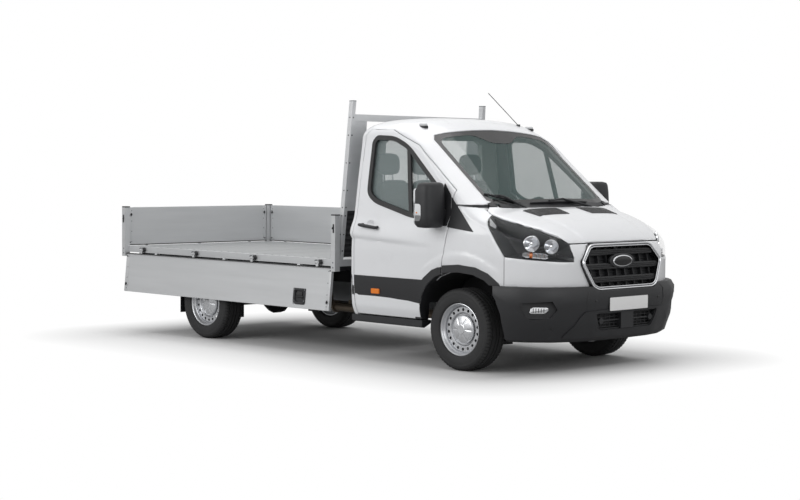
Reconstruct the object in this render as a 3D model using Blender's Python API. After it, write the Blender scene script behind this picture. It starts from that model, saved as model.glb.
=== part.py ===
"""A light flatbed truck: a chassis cab with an aluminium dropside bed.

Metres, +X forward, +Y to the truck's left, +Z up. Every X in this file is measured from the front
axle. The empty "truck" moves the whole vehicle so that the middle of its length is the world's
origin, on the ground.
"""

import math

import bmesh
import bpy
from mathutils import Vector

# Driving dimensions of the vehicle
WHEELBASE = 3.504
FRONT_OVERHANG = 1.045
REAR_OVERHANG = 1.316
TRACK_FRONT = 1.732
TRACK_REAR = 1.660
TYRE_RADIUS = 0.350
TYRE_WIDTH = 0.235
RIM_RADIUS = 0.221

# Clearances
SEAT_GAP = 0.0003
PIN_GAP = 0.0005
SHUT_GAP = 0.006
LAMP_GAP = 0.003
LID_GAP = 0.011
SWING_GAP = 0.006
WELD = 1e-6

# Cab body
CAB_REAR = -1.300
CAB_WIDTH = 2.060
CAB_FLOOR = 0.600
CAB_WALL = 0.060
LID_WALL = 0.030
FLOOR_THICK = 0.050
SILL_BOTTOM = 0.400
SILL_INNER_Y = 0.880
ROOF_HEIGHT = 2.160
SCREEN_FOOT = (0.243, 1.396)
SCREEN_HEAD = (-0.560, 2.066)
SCREEN_EDGE_DROP = 0.215
GLASS = 0.006
FIREWALL_X = 0.100
FIREWALL_REAR = FIREWALL_X - 0.020
FIREWALL_FRONT = FIREWALL_X + 0.030
COWL_REAR = 0.140
COWL_HALF = 0.780
COWL_BOTTOM = 1.200
BUMPER_TOP = 0.748
CLADDING = 0.008
FLARE = 0.010

# Bed
BED_FRONT = -1.524
BED_WIDTH = 2.000
POST_LENGTH = 0.055
POST_WIDTH = 0.060
POST_BOTTOM = 0.765
BOARD_TOP = 1.270
BOARD_THICK = 0.025
BOARD_HINGE_DROP = 0.0345
BOARD_LEAN = 5.5
BED_FLOOR = 0.871
FLOOR_BOARD = 0.025
RAIL_HEIGHT = 0.062
RAIL_WIDTH = 0.045
RAIL_INSET = 0.050
HEADBOARD_TOP = 2.310

# Chassis
FRAME_TOP = 0.620
FRAME_CAB_TOP = 0.500
FRAME_CAB_BOTTOM = 0.380
FRAME_BOTTOM = 0.440
FRAME_ARCH_BOTTOM = 0.550
FRAME_TAIL_BOTTOM = 0.470
FRAME_RAIL_WIDTH = 0.065
FRAME_HALF = 0.430
RUNNER_TOP = 0.760

AXLE_Z = TYRE_RADIUS
REAR_X = -WHEELBASE
BED_REAR = REAR_X - REAR_OVERHANG
MIDDLE_X = (FRONT_OVERHANG + BED_REAR) / 2
CAB_HALF = CAB_WIDTH / 2
BED_HALF = BED_WIDTH / 2
RAIL_Y = BED_HALF - RAIL_INSET
CAB_UNDER = CAB_FLOOR - FLOOR_THICK
FRAME_INNER = FRAME_HALF - FRAME_RAIL_WIDTH
FAR = 3.0
SIDES = ((-1, "right"), (1, "left"))

# name: base colour, roughness, metallic
FINISHES = {
    "white_paint": ((0.80, 0.81, 0.83), 0.25, 0.0),
    "black_plastic": ((0.03, 0.03, 0.034), 0.55, 0.0),
    "chrome": ((0.75, 0.76, 0.78), 0.12, 1.0),
    "glass": ((0.35, 0.45, 0.44), 0.05, 0.0),
    "lamp": ((0.20, 0.21, 0.23), 0.12, 0.0),
    "rubber": ((0.025, 0.025, 0.027), 0.80, 0.0),
    "silver_steel": ((0.55, 0.56, 0.58), 0.35, 0.9),
    "grey_steel": ((0.33, 0.34, 0.35), 0.45, 0.6),
    "dark_steel": ((0.06, 0.06, 0.065), 0.50, 0.7),
    "aluminium": ((0.62, 0.63, 0.64), 0.35, 0.9),
    "grey_panel": ((0.40, 0.41, 0.42), 0.50, 0.2),
    "cloth": ((0.07, 0.075, 0.08), 0.90, 0.0),
    "exhaust_steel": ((0.17, 0.14, 0.11), 0.50, 0.8),
}

# Height, half width of the cab's side there as a share of CAB_HALF
SIDE_PROFILE = [
    (0.40, 0.955),
    (0.50, 0.990),
    (0.72, 1.000),
    (0.95, 1.000),
    (1.15, 0.990),
    (1.30, 0.965),
    (1.60, 0.925),
    (1.90, 0.880),
    (2.10, 0.850),
]
SIDE_LEVELS = 9
CROWN_STEPS = 8


def clear_scene():
    for obj in list(bpy.data.objects):
        bpy.data.objects.remove(obj, do_unlink=True)


def finish(name):
    if name in bpy.data.materials:
        return bpy.data.materials[name]
    colour, roughness, metallic = FINISHES[name]
    material = bpy.data.materials.new(name)
    material.use_nodes = True
    shader = material.node_tree.nodes["Principled BSDF"]
    shader.inputs["Base Color"].default_value = (*colour, 1)
    shader.inputs["Roughness"].default_value = roughness
    shader.inputs["Metallic"].default_value = metallic
    return material


def truck_frame():
    empty = bpy.data.objects.new("truck", None)
    bpy.context.scene.collection.objects.link(empty)
    empty.location.x = -MIDDLE_X
    return empty


def solid(name, points, faces):
    """A mesh object with outward faces, in the front axle's frame."""
    mesh = bpy.data.meshes.new(name)
    mesh.from_pydata([tuple(p) for p in points], [], faces)
    work = bmesh.new()
    work.from_mesh(mesh)
    bmesh.ops.remove_doubles(work, verts=work.verts, dist=WELD)
    bmesh.ops.delete(work, geom=[edge for edge in work.edges if edge.is_wire], context="EDGES")
    bmesh.ops.triangulate(work, faces=work.faces)
    bmesh.ops.recalc_face_normals(work, faces=work.faces)
    work.to_mesh(mesh)
    work.free()
    obj = bpy.data.objects.new(name, mesh)
    bpy.context.scene.collection.objects.link(obj)
    obj.parent = bpy.data.objects["truck"]
    return obj


def rings(name, sections, closed=False):
    """A loft through rings that all have the same number of points."""
    count = len(sections[0])
    points = [p for section in sections for p in section]
    faces = []
    for k in range(len(sections) - (0 if closed else 1)):
        here = k * count
        there = (k + 1) % len(sections) * count
        for i in range(count):
            j = (i + 1) % count
            faces.append((here + i, here + j, there + j, there + i))
    if not closed:
        faces.append(tuple(range(count)))
        faces.append(tuple(len(points) - count + i for i in range(count)))
    return solid(name, points, faces)


def box(name, x0, x1, y0, y1, z0, z1):
    corners = [(y0, z0), (y1, z0), (y1, z1), (y0, z1)]
    return rings(name, [[(x, y, z) for y, z in corners] for x in (x0, x1)])


def prism_y(name, outline, y0, y1):
    """An outline in X and Z, extruded along Y."""
    return rings(name, [[(x, y, z) for x, z in outline] for y in (y0, y1)])


def prism_x(name, outline, x0, x1):
    """An outline in Y and Z, extruded along X."""
    return rings(name, [[(x, y, z) for y, z in outline] for x in (x0, x1)])


def prism_z(name, outline, z0, z1):
    """An outline in X and Y, extruded along Z."""
    return rings(name, [[(x, y, z) for x, y in outline] for z in (z0, z1)])


def circle(radius, count, start=0.0):
    step = 2 * math.pi / count
    return [
        (radius * math.cos(start + step * k), radius * math.sin(start + step * k))
        for k in range(count)
    ]


def cylinder_y(name, x, z, radius, y0, y1, count):
    return prism_y(name, [(x + a, z + b) for a, b in circle(radius, count)], y0, y1)


def cylinder_z(name, x, y, radius, z0, z1, count=24):
    return prism_z(name, [(x + a, y + b) for a, b in circle(radius, count)], z0, z1)


def cylinder_x(name, y, z, radius, x0, x1, count=24):
    return prism_x(name, [(y + a, z + b) for a, b in circle(radius, count)], x0, x1)


def lathe_y(name, x, z, profile, count):
    """A closed profile of (radius, y) turned about the line through x and z along Y."""
    sections = []
    for k in range(count):
        angle = 2 * math.pi * k / count
        ca, sa = math.cos(angle), math.sin(angle)
        sections.append([(x + r * ca, y, z + r * sa) for r, y in profile])
    return rings(name, sections, closed=True)


def rod(name, route, radius, count=12):
    """A round bar through the points of a route."""
    sections = []
    for k, point in enumerate(route):
        before = Vector(route[max(k - 1, 0)])
        after = Vector(route[min(k + 1, len(route) - 1)])
        along = (after - before).normalized()
        side = along.orthogonal() if abs(along.z) > 0.9 else along.cross(Vector((0, 0, 1)))
        side.normalize()
        up = side.cross(along)
        sections.append([Vector(point) + side * a + up * b for a, b in circle(radius, count)])
    return rings(name, sections)


def boolean(obj, other, operation):
    other.hide_render = True
    other.display_type = "WIRE"
    other.hide_set(True)
    modifier = obj.modifiers.new(other.name, "BOOLEAN")
    modifier.operation = operation
    modifier.solver = "EXACT"
    modifier.object = other
    return obj


def join(obj, *others):
    for other in others:
        boolean(obj, other, "UNION")
    return obj


def cut(obj, *others):
    for other in others:
        boolean(obj, other, "DIFFERENCE")
    return obj


def keep(obj, *others):
    for other in others:
        boolean(obj, other, "INTERSECT")
    return obj


def settled(obj):
    """Applies a piece's modifiers, so that it can be turned."""
    bpy.context.view_layer.update()
    graph = bpy.context.evaluated_depsgraph_get()
    mesh = bpy.data.meshes.new_from_object(obj.evaluated_get(graph))
    obj.modifiers.clear()
    obj.data = mesh
    return obj


def part(obj, name, material, origin=(0, 0, 0)):
    """Names a finished piece, gives it its material and puts its origin on its joint's axis."""
    obj.name = name
    obj.data.materials.clear()
    obj.data.materials.append(finish(material))
    origin = Vector(origin)
    for vertex in obj.data.vertices:
        vertex.co -= origin
    obj.location = origin
    return obj


def side_half(z):
    """Half width of the cab's side at height z."""
    low = SIDE_PROFILE[0]
    if z <= low[0]:
        return CAB_HALF * low[1]
    for (z0, w0), (z1, w1) in zip(SIDE_PROFILE, SIDE_PROFILE[1:]):
        if z <= z1:
            return CAB_HALF * (w0 + (w1 - w0) * (z - z0) / (z1 - z0))
    return CAB_HALF * SIDE_PROFILE[-1][1]


def screen_height(x):
    """Height of the windscreen's middle at x."""
    (x0, z0), (x1, z1) = SCREEN_FOOT, SCREEN_HEAD
    return z0 + (z1 - z0) * (x - x0) / (x1 - x0)


# x, width factor, height of the shoulder, height of the middle, squareness of the crown
CAB_SECTIONS = [
    (CAB_REAR, 0.970, 1.930, ROOF_HEIGHT - 0.035, 2.8),
    (CAB_REAR + 0.030, 0.992, 1.950, ROOF_HEIGHT - 0.015, 2.8),
    (CAB_REAR + 0.120, 1.000, 1.970, ROOF_HEIGHT - 0.004, 2.8),
    (-0.950, 1.000, 1.975, ROOF_HEIGHT, 2.8),
    (-0.780, 1.000, 1.940, ROOF_HEIGHT - 0.012, 2.7),
    (-0.660, 1.000, 1.880, ROOF_HEIGHT - 0.045, 2.5),
]
CAB_SECTIONS += [
    (x, 1.0, screen_height(x) - SCREEN_EDGE_DROP, screen_height(x), 2.3)
    for x in (SCREEN_HEAD[0], -0.300, -0.050, 0.110)
]
CAB_SECTIONS += [
    (SCREEN_FOOT[0], 0.990, 1.235, SCREEN_FOOT[1], 2.4),
    (0.360, 0.975, 1.190, 1.362, 2.6),
    (0.520, 0.945, 1.130, 1.318, 2.6),
    (0.680, 0.880, 1.080, 1.262, 2.6),
    (0.800, 0.790, 1.030, 1.200, 2.6),
    (0.880, 0.690, 0.985, 1.140, 2.6),
    (0.930, 0.580, 0.950, 1.080, 2.6),
    (0.965, 0.430, 0.915, 1.010, 2.6),
]
# Nearest that two sections may come, and how an inset draws in the shoulder and the side's height
SECTION_GAP = 0.010
SHOULDER_SHARE = 0.6
SIDE_SHARE = 0.3


def cab_form(name, inset=0.0, bottom=SILL_BOTTOM):
    """The cab and nose as one closed form, drawn in by an inset."""
    rear, front = CAB_SECTIONS[0], CAB_SECTIONS[-1]
    first, last = rear[0] + inset, front[0] - inset
    between = [row for row in CAB_SECTIONS[1:-1] if first + SECTION_GAP < row[0] < last - SECTION_GAP]
    sections = []
    for x, width, shoulder, middle, square in [(first, *rear[1:])] + between + [(last, *front[1:])]:
        shoulder -= SHOULDER_SHARE * inset
        middle -= inset
        half = []
        for i in range(SIDE_LEVELS):
            level = SILL_BOTTOM + (shoulder - SILL_BOTTOM) * i / (SIDE_LEVELS - 1)
            z = max(level, bottom)
            half.append((side_half(z + SIDE_SHARE * inset) * width - inset, z))
        if bottom < SILL_BOTTOM:
            half.insert(0, (half[0][0], bottom))
        edge = half[-1][0]
        for i in range(1, CROWN_STEPS):
            angle = 0.5 * math.pi * i / CROWN_STEPS
            y = edge * math.cos(angle) ** (2 / square)
            half.append((y, shoulder + (middle - shoulder) * math.sin(angle) ** (2 / square)))
        half.append((0.0, middle))
        sections.append([(x, -y, z) for y, z in half] + [(x, y, z) for y, z in reversed(half[:-1])])
    return rings(name, sections)


def cab_skin(name, wall=CAB_WALL, floor=CAB_FLOOR):
    """The cab form as a hollow skin of one wall thickness."""
    skin = cab_form(name)
    return cut(skin, cab_form(name + "_inside", wall, floor))


def seat_cutter(name, gap=SEAT_GAP):
    """The cab form grown by a seat's gap, to cut what rests on the outside of the cab."""
    return cab_form(name, -gap)


def grown(outline, by):
    """A closed outline with each edge moved outwards by a distance, or inwards if it is negative."""
    area = 0.0
    for (x0, z0), (x1, z1) in zip(outline, outline[1:] + outline[:1]):
        area += x0 * z1 - x1 * z0
    turn = 1 if area > 0 else -1
    result = []
    count = len(outline)
    for k in range(count):
        here = Vector(outline[k])
        back = (here - Vector(outline[k - 1])).normalized()
        ahead = (Vector(outline[(k + 1) % count]) - here).normalized()
        normal_back = Vector((back.y, -back.x)) * turn
        normal_ahead = Vector((ahead.y, -ahead.x)) * turn
        middle = normal_back + normal_ahead
        middle /= max(middle.dot(normal_back), 0.2)
        result.append(tuple(here + middle * by))
    return result


def shifted(outline, dx=0.0, dz=0.0):
    return [(x + dx, z + dz) for x, z in outline]


def mirrored(half):
    """A whole outline from its half at positive Y, listed from the bottom up."""
    return half + [(-y, z) for y, z in reversed(half)]


def side_span(side, inner, outer=CAB_HALF + 0.27):
    return sorted((side * inner, side * outer))


# The door in X and Z. Its rear edge leans forward with the side, so that it clears as it swings.
DOOR_REAR = -1.235
DOOR_BOTTOM = 0.412
DOOR_FRONT_LOW = -0.160
DOOR_TOP = [(-1.259, 1.990), (-1.214, 2.045), (-0.900, 2.040), (-0.560, 1.905)]
DOOR_FRONT = [(-0.077, 1.520), (-0.100, 1.200), (DOOR_FRONT_LOW, 0.860), (DOOR_FRONT_LOW, 0.700)]
DOOR_SLANT = 0.185
DOOR_SPLIT_X = -1.0
DOOR_INNER_Y = 0.800
OPENING_DEPTH = CAB_WALL + 0.009
HINGE_X = -0.140
HINGE_Y = CAB_HALF + 0.004
HINGE_LEAVES = ((0.880, 0.940), (1.280, 1.340))
HINGE_LEAF_DEEP = 0.055
HINGE_LEAF_THICK = 0.020
WINDOW = [
    (-1.120, 1.480),
    (-1.125, 1.940),
    (-1.080, 1.985),
    (-0.860, 1.975),
    (-0.680, 1.900),
    (-0.190, 1.490),
    (-0.190, 1.300),
    (-0.540, 1.290),
    (-1.020, 1.410),
]
PANE_INSET = 0.024

# The front wheel arch
ARCH_X = 0.045
ARCH_HALF = 0.480
ARCH_TOP = 0.840
ARCH_INNER_Y = 0.520
ARCH_SQUARE = 0.8
ARCH_STEPS = 12
ARCH_SHELL_GAP = 0.020
ARCH_FOOT_WALL = 0.030
LINER = 0.012
LINER_OUTER_Y = 0.950
FLARE_WIDTH = 0.065


def door_outline(bottom=DOOR_BOTTOM):
    return [(DOOR_REAR, bottom)] + DOOR_TOP + DOOR_FRONT + [(DOOR_FRONT_LOW, bottom)]


def door_region(name, side, outline, inner=DOOR_INNER_Y):
    """An outline on the door pushed through the cab's side, with the rear edge's slant."""
    sections = []
    for y in (HINGE_Y + CAB_WALL, inner):
        lead = DOOR_SLANT * (HINGE_Y - y)
        sections.append([(x + (lead if x < DOOR_SPLIT_X else 0.0), side * y, z) for x, z in outline])
    return rings(name, sections)


def arch_outline(extra=0.0):
    """The wheel opening: a squarish arch that runs out through the sill."""
    points = []
    for k in range(ARCH_STEPS + 1):
        angle = math.pi * k / ARCH_STEPS
        ca, sa = math.cos(angle), abs(math.sin(angle))
        x = math.copysign(abs(ca) ** ARCH_SQUARE, ca) * (ARCH_HALF + extra)
        points.append((ARCH_X + x, AXLE_Z + sa**ARCH_SQUARE * (ARCH_TOP - AXLE_Z + extra)))
    low = 0.1
    return [(points[0][0], low)] + points + [(points[-1][0], low)]


def arch_cutter(name, side, extra=0.0, inner=ARCH_INNER_Y):
    return prism_y(name, arch_outline(extra), *side_span(side, inner))


def door(side, label):
    piece = cab_skin("door_skin_" + label, CAB_WALL, SILL_BOTTOM - 0.1)
    keep(piece, door_region("door_region_" + label, side, door_outline()))
    cut(piece, arch_cutter("door_arch_" + label, side))
    cut(piece, prism_y("door_window_" + label, WINDOW, *side_span(side, 0.55)))
    return part(piece, "door_" + label, "white_paint", (HINGE_X, side * HINGE_Y, CAB_FLOOR))


def door_glass(side, label):
    pane = cab_form("door_glass_" + label, PANE_INSET)
    cut(pane, cab_form("door_glass_inside_" + label, PANE_INSET + GLASS, CAB_FLOOR))
    keep(pane, prism_y("door_pane_" + label, grown(WINDOW, -SEAT_GAP), *side_span(side, 0.60)))
    return part(pane, "door_glass_" + label, "glass", (HINGE_X, side * HINGE_Y, CAB_FLOOR))


CLADDING_TOP = 0.755
CLADDING_BOTTOM = 0.514
CLADDING_FRONT = DOOR_FRONT_LOW - 0.030


def raised_skin(name, thickness):
    """A thin layer on the outside of the cab, seated a seat's gap off it."""
    layer = cab_form(name, -thickness)
    return cut(layer, cab_form(name + "_seat", -SEAT_GAP, SILL_BOTTOM - 0.1))


def door_cladding(side, label):
    """The black band low on the door, with the rear end of the arch's flare."""
    name = "cladding_form_" + label
    band = [(DOOR_REAR, CLADDING_BOTTOM), (DOOR_REAR, CLADDING_TOP)]
    band += [(CLADDING_FRONT, CLADDING_TOP), (CLADDING_FRONT, CLADDING_BOTTOM)]
    piece = raised_skin(name, CLADDING)
    region = door_region(name + "_band", side, band)
    strip = prism_y(name + "_flare", arch_outline(FLARE_WIDTH), *side_span(side, 0.6))
    keep(strip, box(name + "_flare_rear", -0.6, CLADDING_FRONT, -FAR, FAR, DOOR_BOTTOM, ARCH_TOP + 0.1))
    keep(piece, join(region, strip))
    cut(piece, arch_cutter(name + "_arch", side))
    return part(piece, "door_cladding_" + label, "black_plastic", (HINGE_X, side * HINGE_Y, CAB_FLOOR))


# The mirror: height of its arm, and rows of height and share of the head's full section
MIRROR_ARM_Z = 1.330
MIRROR_ARM_HALF = 0.035
MIRROR_X = -0.205
MIRROR_ROWS = [(1.215, 0.70), (1.245, 0.95), (1.400, 1.00), (1.530, 0.93), (1.580, 0.65)]
MIRROR_OUT = 0.135
MIRROR_HALF = (0.060, 0.105)
MIRROR_SQUARE = 0.6


def rounded(share):
    return math.copysign(abs(share) ** MIRROR_SQUARE, share)


def mirror(side, label):
    """A mirror head on an arm from the door's front corner."""
    surface = side_half(MIRROR_ARM_Z)
    low, high = side_span(side, surface - 0.001, surface + 0.08)
    arm_z = (MIRROR_ARM_Z - MIRROR_ARM_HALF, MIRROR_ARM_Z + MIRROR_ARM_HALF)
    arm = box("mirror_arm_" + label, MIRROR_X - 0.045, HINGE_X - SHUT_GAP, low, high, *arm_z)
    sections = []
    for z, share in MIRROR_ROWS:
        section = []
        for a, b in circle(share, 16, math.pi / 16):
            x = MIRROR_X + MIRROR_HALF[0] * share * rounded(a / share)
            y = surface + MIRROR_OUT + MIRROR_HALF[1] * share * rounded(b / share)
            section.append((x, side * y, z))
        sections.append(section)
    head = rings("mirror_head_" + label, sections)
    join(head, arm)
    cut(head, seat_cutter("mirror_seat_" + label))
    return part(head, "mirror_" + label, "black_plastic", (HINGE_X, side * HINGE_Y, CAB_FLOOR))


# The bonnet's plan in X and Y, from the middle of its rear edge round to the nose
BONNET_REAR = [(0.300, 0.0), (0.290, 0.25), (0.262, 0.50), (0.222, 0.68), (0.180, 0.800)]
BONNET_SIDE = [(0.205, 0.850), (0.380, 0.850), (0.560, 0.790), (0.720, 0.700), (0.860, 0.590)]
BONNET_NOSE = (1.100, 0.430)
BONNET_NOSE_Z = 1.102
BONNET_AXIS = (0.165, 0.0, 1.386)
BONNET_TOP = 1.600
TONGUE_Y = 0.700
TONGUE_HALF = 0.012
TONGUE = [(0.158, 1.378), (0.160, 1.395), (0.172, 1.395), (0.222, 1.360), (0.250, 1.345), (0.240, 1.335), (0.212, 1.350), (0.190, 1.362)]
NOTCH_HALF = TONGUE_HALF + SWING_GAP
NOTCH_REAR = 0.1495
NOTCH_BOTTOM = 1.338
PIN_RADIUS = 0.004
PIN_SIDES = 8
EYE_RADIUS = (PIN_RADIUS + PIN_GAP) / math.cos(math.pi / PIN_SIDES)
BARREL_RADIUS = 0.010
VENTS = 3
VENT_X = 0.345
VENT_PITCH = 0.030
VENT_Y = (0.20, 0.46)

LAMP_REAR_TOP = (0.262, 1.330)
LAMP_REAR_BOTTOM = (0.505, 0.985)
LAMP_BOTTOM_Z = 0.950
LAMP_INNER_Y = 0.590
LAMP_WALL = 0.100
WING_TOP = 1.400
WING_LOW = 0.500
WING_FRONT = 0.505


def bonnet_outline():
    half = BONNET_REAR + BONNET_SIDE + [BONNET_NOSE]
    return half + [(x, -y) for x, y in reversed(half) if y > 0]


def bonnet_cutter(name, extra=0.0):
    return prism_z(name, grown(bonnet_outline(), extra), BONNET_NOSE_Z - extra, BONNET_TOP)


def bonnet():
    piece = cab_skin("bonnet_skin", LID_WALL)
    keep(piece, bonnet_cutter("bonnet_region"))
    for side, label in SIDES:
        for k in range(VENTS):
            x = VENT_X + VENT_PITCH * k
            low, high = side_span(side, *VENT_Y)
            cut(piece, box("vent_%s%d" % (label, k), x, x + VENT_PITCH / 2, low, high, 1.20, BONNET_TOP))
        across = side_span(side, TONGUE_Y - TONGUE_HALF, TONGUE_Y + TONGUE_HALF)
        x, _, z = BONNET_AXIS
        tongue = prism_y("tongue_" + label, TONGUE, *across)
        join(tongue, cylinder_y("barrel_" + label, x, z, BARREL_RADIUS, *across, PIN_SIDES))
        join(piece, tongue)
        cut(piece, cylinder_y("barrel_eye_" + label, x, z, EYE_RADIUS, *side_span(side, 0.6, 0.8), PIN_SIDES))
    return part(piece, "bonnet", "white_paint", BONNET_AXIS)


def wing(side, label):
    """The front wing with its wheel liner and the leaves of the door's hinges."""
    edge = shifted(list(reversed(DOOR_FRONT)), SHUT_GAP)
    outline = [(edge[0][0], WING_LOW)] + edge[1:3] + [(edge[3][0], WING_TOP), (0.140, WING_TOP - 0.02)]
    outline += [LAMP_REAR_TOP, LAMP_REAR_BOTTOM, (WING_FRONT, LAMP_BOTTOM_Z), (WING_FRONT, BUMPER_TOP)]
    outline += [(ARCH_X, BUMPER_TOP), (ARCH_X, WING_LOW)]
    piece = cab_skin("wing_skin_" + label)
    keep(piece, prism_y("wing_region_" + label, outline, *side_span(side, 0.60)))
    cut(piece, bonnet_cutter("wing_bonnet_" + label, LID_GAP))
    cut(piece, arch_cutter("wing_arch_" + label, side))
    reach = COWL_HALF + SEAT_GAP
    cut(piece, box("wing_cowl_" + label, COWL_REAR - 0.001, 0.45, -reach, reach, COWL_BOTTOM, BONNET_TOP))
    across = (ARCH_INNER_Y + 0.020, LINER_OUTER_Y)
    liner = prism_y("liner_" + label, arch_outline(LINER), *side_span(side, *across))
    cut(liner, arch_cutter("liner_inside_" + label, side, 0.0, 0.4))
    cut(liner, box("liner_low_" + label, -1, 1, -FAR, FAR, 0, BUMPER_TOP + LAMP_GAP))
    join(piece, liner)
    for k, (low, high) in enumerate(HINGE_LEAVES):
        join(piece, hinge_leaf("leaf_%s%d" % (label, k), side, low, high))
    return part(piece, "wing_" + label, "white_paint")


def door_front_x(z):
    """The door's front edge at height z."""
    for (x0, z0), (x1, z1) in zip(DOOR_FRONT, DOOR_FRONT[1:]):
        if z >= z1:
            return x0 + (x1 - x0) * (z - z0) / (z1 - z0)
    return DOOR_FRONT_LOW


def hinge_leaf(name, side, low, high):
    """A leaf that reaches from the wing across the shut gap to the door's front edge."""
    sections = []
    for z in (low, high):
        edge = door_front_x(z)
        inner = side_half(z) - HINGE_LEAF_DEEP
        y0, y1 = side_span(side, inner, inner + HINGE_LEAF_THICK)
        x0, x1 = edge + SEAT_GAP, edge + SHUT_GAP + 0.010
        sections.append([(x0, y0, z), (x1, y0, z), (x1, y1, z), (x0, y1, z)])
    return rings(name, sections)


def flare(side, label):
    """The black moulding round the top of the wheel arch, between the door and the bumper."""
    name = "flare_form_" + label
    piece = raised_skin(name, FLARE)
    region = prism_y(name + "_region", arch_outline(FLARE_WIDTH), *side_span(side, 0.6))
    start = door_front_x(ARCH_TOP + FLARE_WIDTH) + SHUT_GAP + 0.002
    span = box(name + "_span", start, 0.6, -FAR, FAR, BUMPER_TOP, ARCH_TOP + 0.1)
    keep(piece, keep(region, span))
    cut(piece, arch_cutter(name + "_arch", side))
    return part(piece, "flare_" + label, "black_plastic")


def lamp_outline():
    front = BONNET_NOSE[0]
    return [LAMP_REAR_TOP, LAMP_REAR_BOTTOM, (0.900, LAMP_BOTTOM_Z), (front, LAMP_BOTTOM_Z), (front, LAMP_REAR_TOP[1])]


def headlamp(side, label):
    """The headlamp's block, resting on the front panel under it."""
    piece = cab_skin("lamp_skin_" + label, LAMP_WALL)
    outline = shifted(grown(lamp_outline(), -LAMP_GAP), 0.0, SEAT_GAP - LAMP_GAP)
    keep(piece, prism_y("lamp_region_" + label, outline, *side_span(side, LAMP_INNER_Y)))
    cut(piece, bonnet_cutter("lamp_bonnet_" + label, LID_GAP))
    return part(piece, "headlamp_" + label, "lamp")


# Half of the grille's outline in Y and Z, from the bottom up
GRILLE_HALF = [(0.365, 0.712), (0.430, 0.740), (0.528, 0.925), (0.528, 0.960), (0.420, 1.080), (0.370, 1.096)]
GRILLE_LEAN = 0.182
GRILLE_FACE = 1.012
GRILLE_REAR = 0.930
GRILLE_RIM = 0.030
GRILLE_PLATE = 0.008
FINS = 8
FIN_PITCH = 0.112
FIN_HALF = 0.004
BAR_HALF = 0.024
# Height, half length of each bar
BARS = [(0.797, 0.440), (0.905, 0.492), (1.020, 0.440)]


def leaned(obj):
    """Leans a grille piece back with the nose, about the grille's bottom edge."""
    for vertex in obj.data.vertices:
        vertex.co.x -= GRILLE_LEAN * (vertex.co.z - GRILLE_HALF[0][1])
    return obj


def grille():
    """The grille: a backing plate, upright fins and three bold bars."""
    face = GRILLE_FACE - 0.037
    wide = mirrored(GRILLE_HALF)[2][0]
    comb = [(GRILLE_REAR, -wide), (GRILLE_REAR, wide), (GRILLE_REAR + GRILLE_PLATE, wide)]
    for k in range(FINS):
        y = FIN_PITCH * (0.5 * (FINS - 1) - k)
        for x, edge in ((GRILLE_REAR + GRILLE_PLATE, 1), (face, 1), (face, -1), (GRILLE_REAR + GRILLE_PLATE, -1)):
            comb.append((x, y + edge * FIN_HALF))
    comb.append((GRILLE_REAR + GRILLE_PLATE, -wide))
    low, high = GRILLE_HALF[0][1], GRILLE_HALF[-1][1]
    plate = leaned(prism_z("grille_plate", comb, low - 0.01, high + 0.01))
    for k, (z, reach) in enumerate(BARS):
        front = face + 0.024
        bar = [(GRILLE_REAR + 0.004, z - BAR_HALF), (face + 0.014, z - BAR_HALF), (front, z)]
        bar += [(face + 0.014, z + BAR_HALF), (GRILLE_REAR + 0.004, z + BAR_HALF)]
        join(plate, leaned(prism_y("grille_bar%d" % k, bar, -reach, reach)))
    keep(plate, prism_x("grille_limit", grown(mirrored(GRILLE_HALF), -GRILLE_RIM), 0.5, 1.3))
    return part(plate, "grille", "black_plastic")


def grille_frame():
    """The bright surround, seated in the front panels' opening."""
    ring = leaned(prism_x("grille_ring", grown(mirrored(GRILLE_HALF), -SEAT_GAP), 0.900, GRILLE_FACE))
    inside = grown(mirrored(GRILLE_HALF), SEAT_GAP - GRILLE_RIM)
    cut(ring, leaned(prism_x("grille_ring_inside", inside, 0.8, 1.1)))
    return part(ring, "grille_frame", "chrome")


def front_panel(side, label):
    name = "front_region_" + label
    piece = cab_skin("front_skin_" + label)
    low, high = side_span(side, 0.20)
    keep(piece, box(name, WING_FRONT + SHUT_GAP, 1.2, low, high, BUMPER_TOP, 1.3))
    cut(piece, bonnet_cutter(name + "_bonnet", LID_GAP))
    cut(piece, prism_y(name + "_lamp", lamp_outline(), *side_span(side, LAMP_INNER_Y - LAMP_GAP)))
    cut(piece, prism_x(name + "_grille", mirrored(GRILLE_HALF), 0.5, 1.3))
    return part(piece, "front_panel_" + label, "white_paint")


# The bumper's plan in X and Y, and rows of height and growth of that plan
NOSE_PLAN = [(0.40, 1.000), (0.58, 0.985), (0.72, 0.920), (0.85, 0.790), (0.940, 0.610), (0.985, 0.400), (1.0, 0.15)]
BUMPER_ROWS = [
    (0.290, -0.035),
    (0.310, -0.012),
    (0.370, 0.002),
    (0.450, 0.022),
    (0.520, 0.030),
    (0.600, 0.042),
    (0.700, 0.045),
    (BUMPER_TOP - SEAT_GAP, 0.025),
]
BUMPER_WALL = 0.050
INTAKE = [(0.345, 0.395), (0.400, 0.520)]
BLOCK_HALF = 0.084
BOSS_Y = 0.330
BOSS_Z = 0.458
FOG_CENTRE = (0.818, 0.888, 0.560)
FOG_AIM = (0.760, 0.650)
FOG_HALF = (0.150, 0.075)
FOG_DEPTH = 0.028
BRACKET_Y = (0.300, 0.360)
BRACKET_Z = (0.430, 0.490)
FRAME_FRONT = 0.720


def nose_outline(extra=0.0):
    """The bumper's plan, from the right wheel arch round the nose to the left."""
    half = [(x + extra, y + extra) for x, y in NOSE_PLAN]
    return [(x, -y) for x, y in half] + [(x, y) for x, y in reversed(half)]


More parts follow.
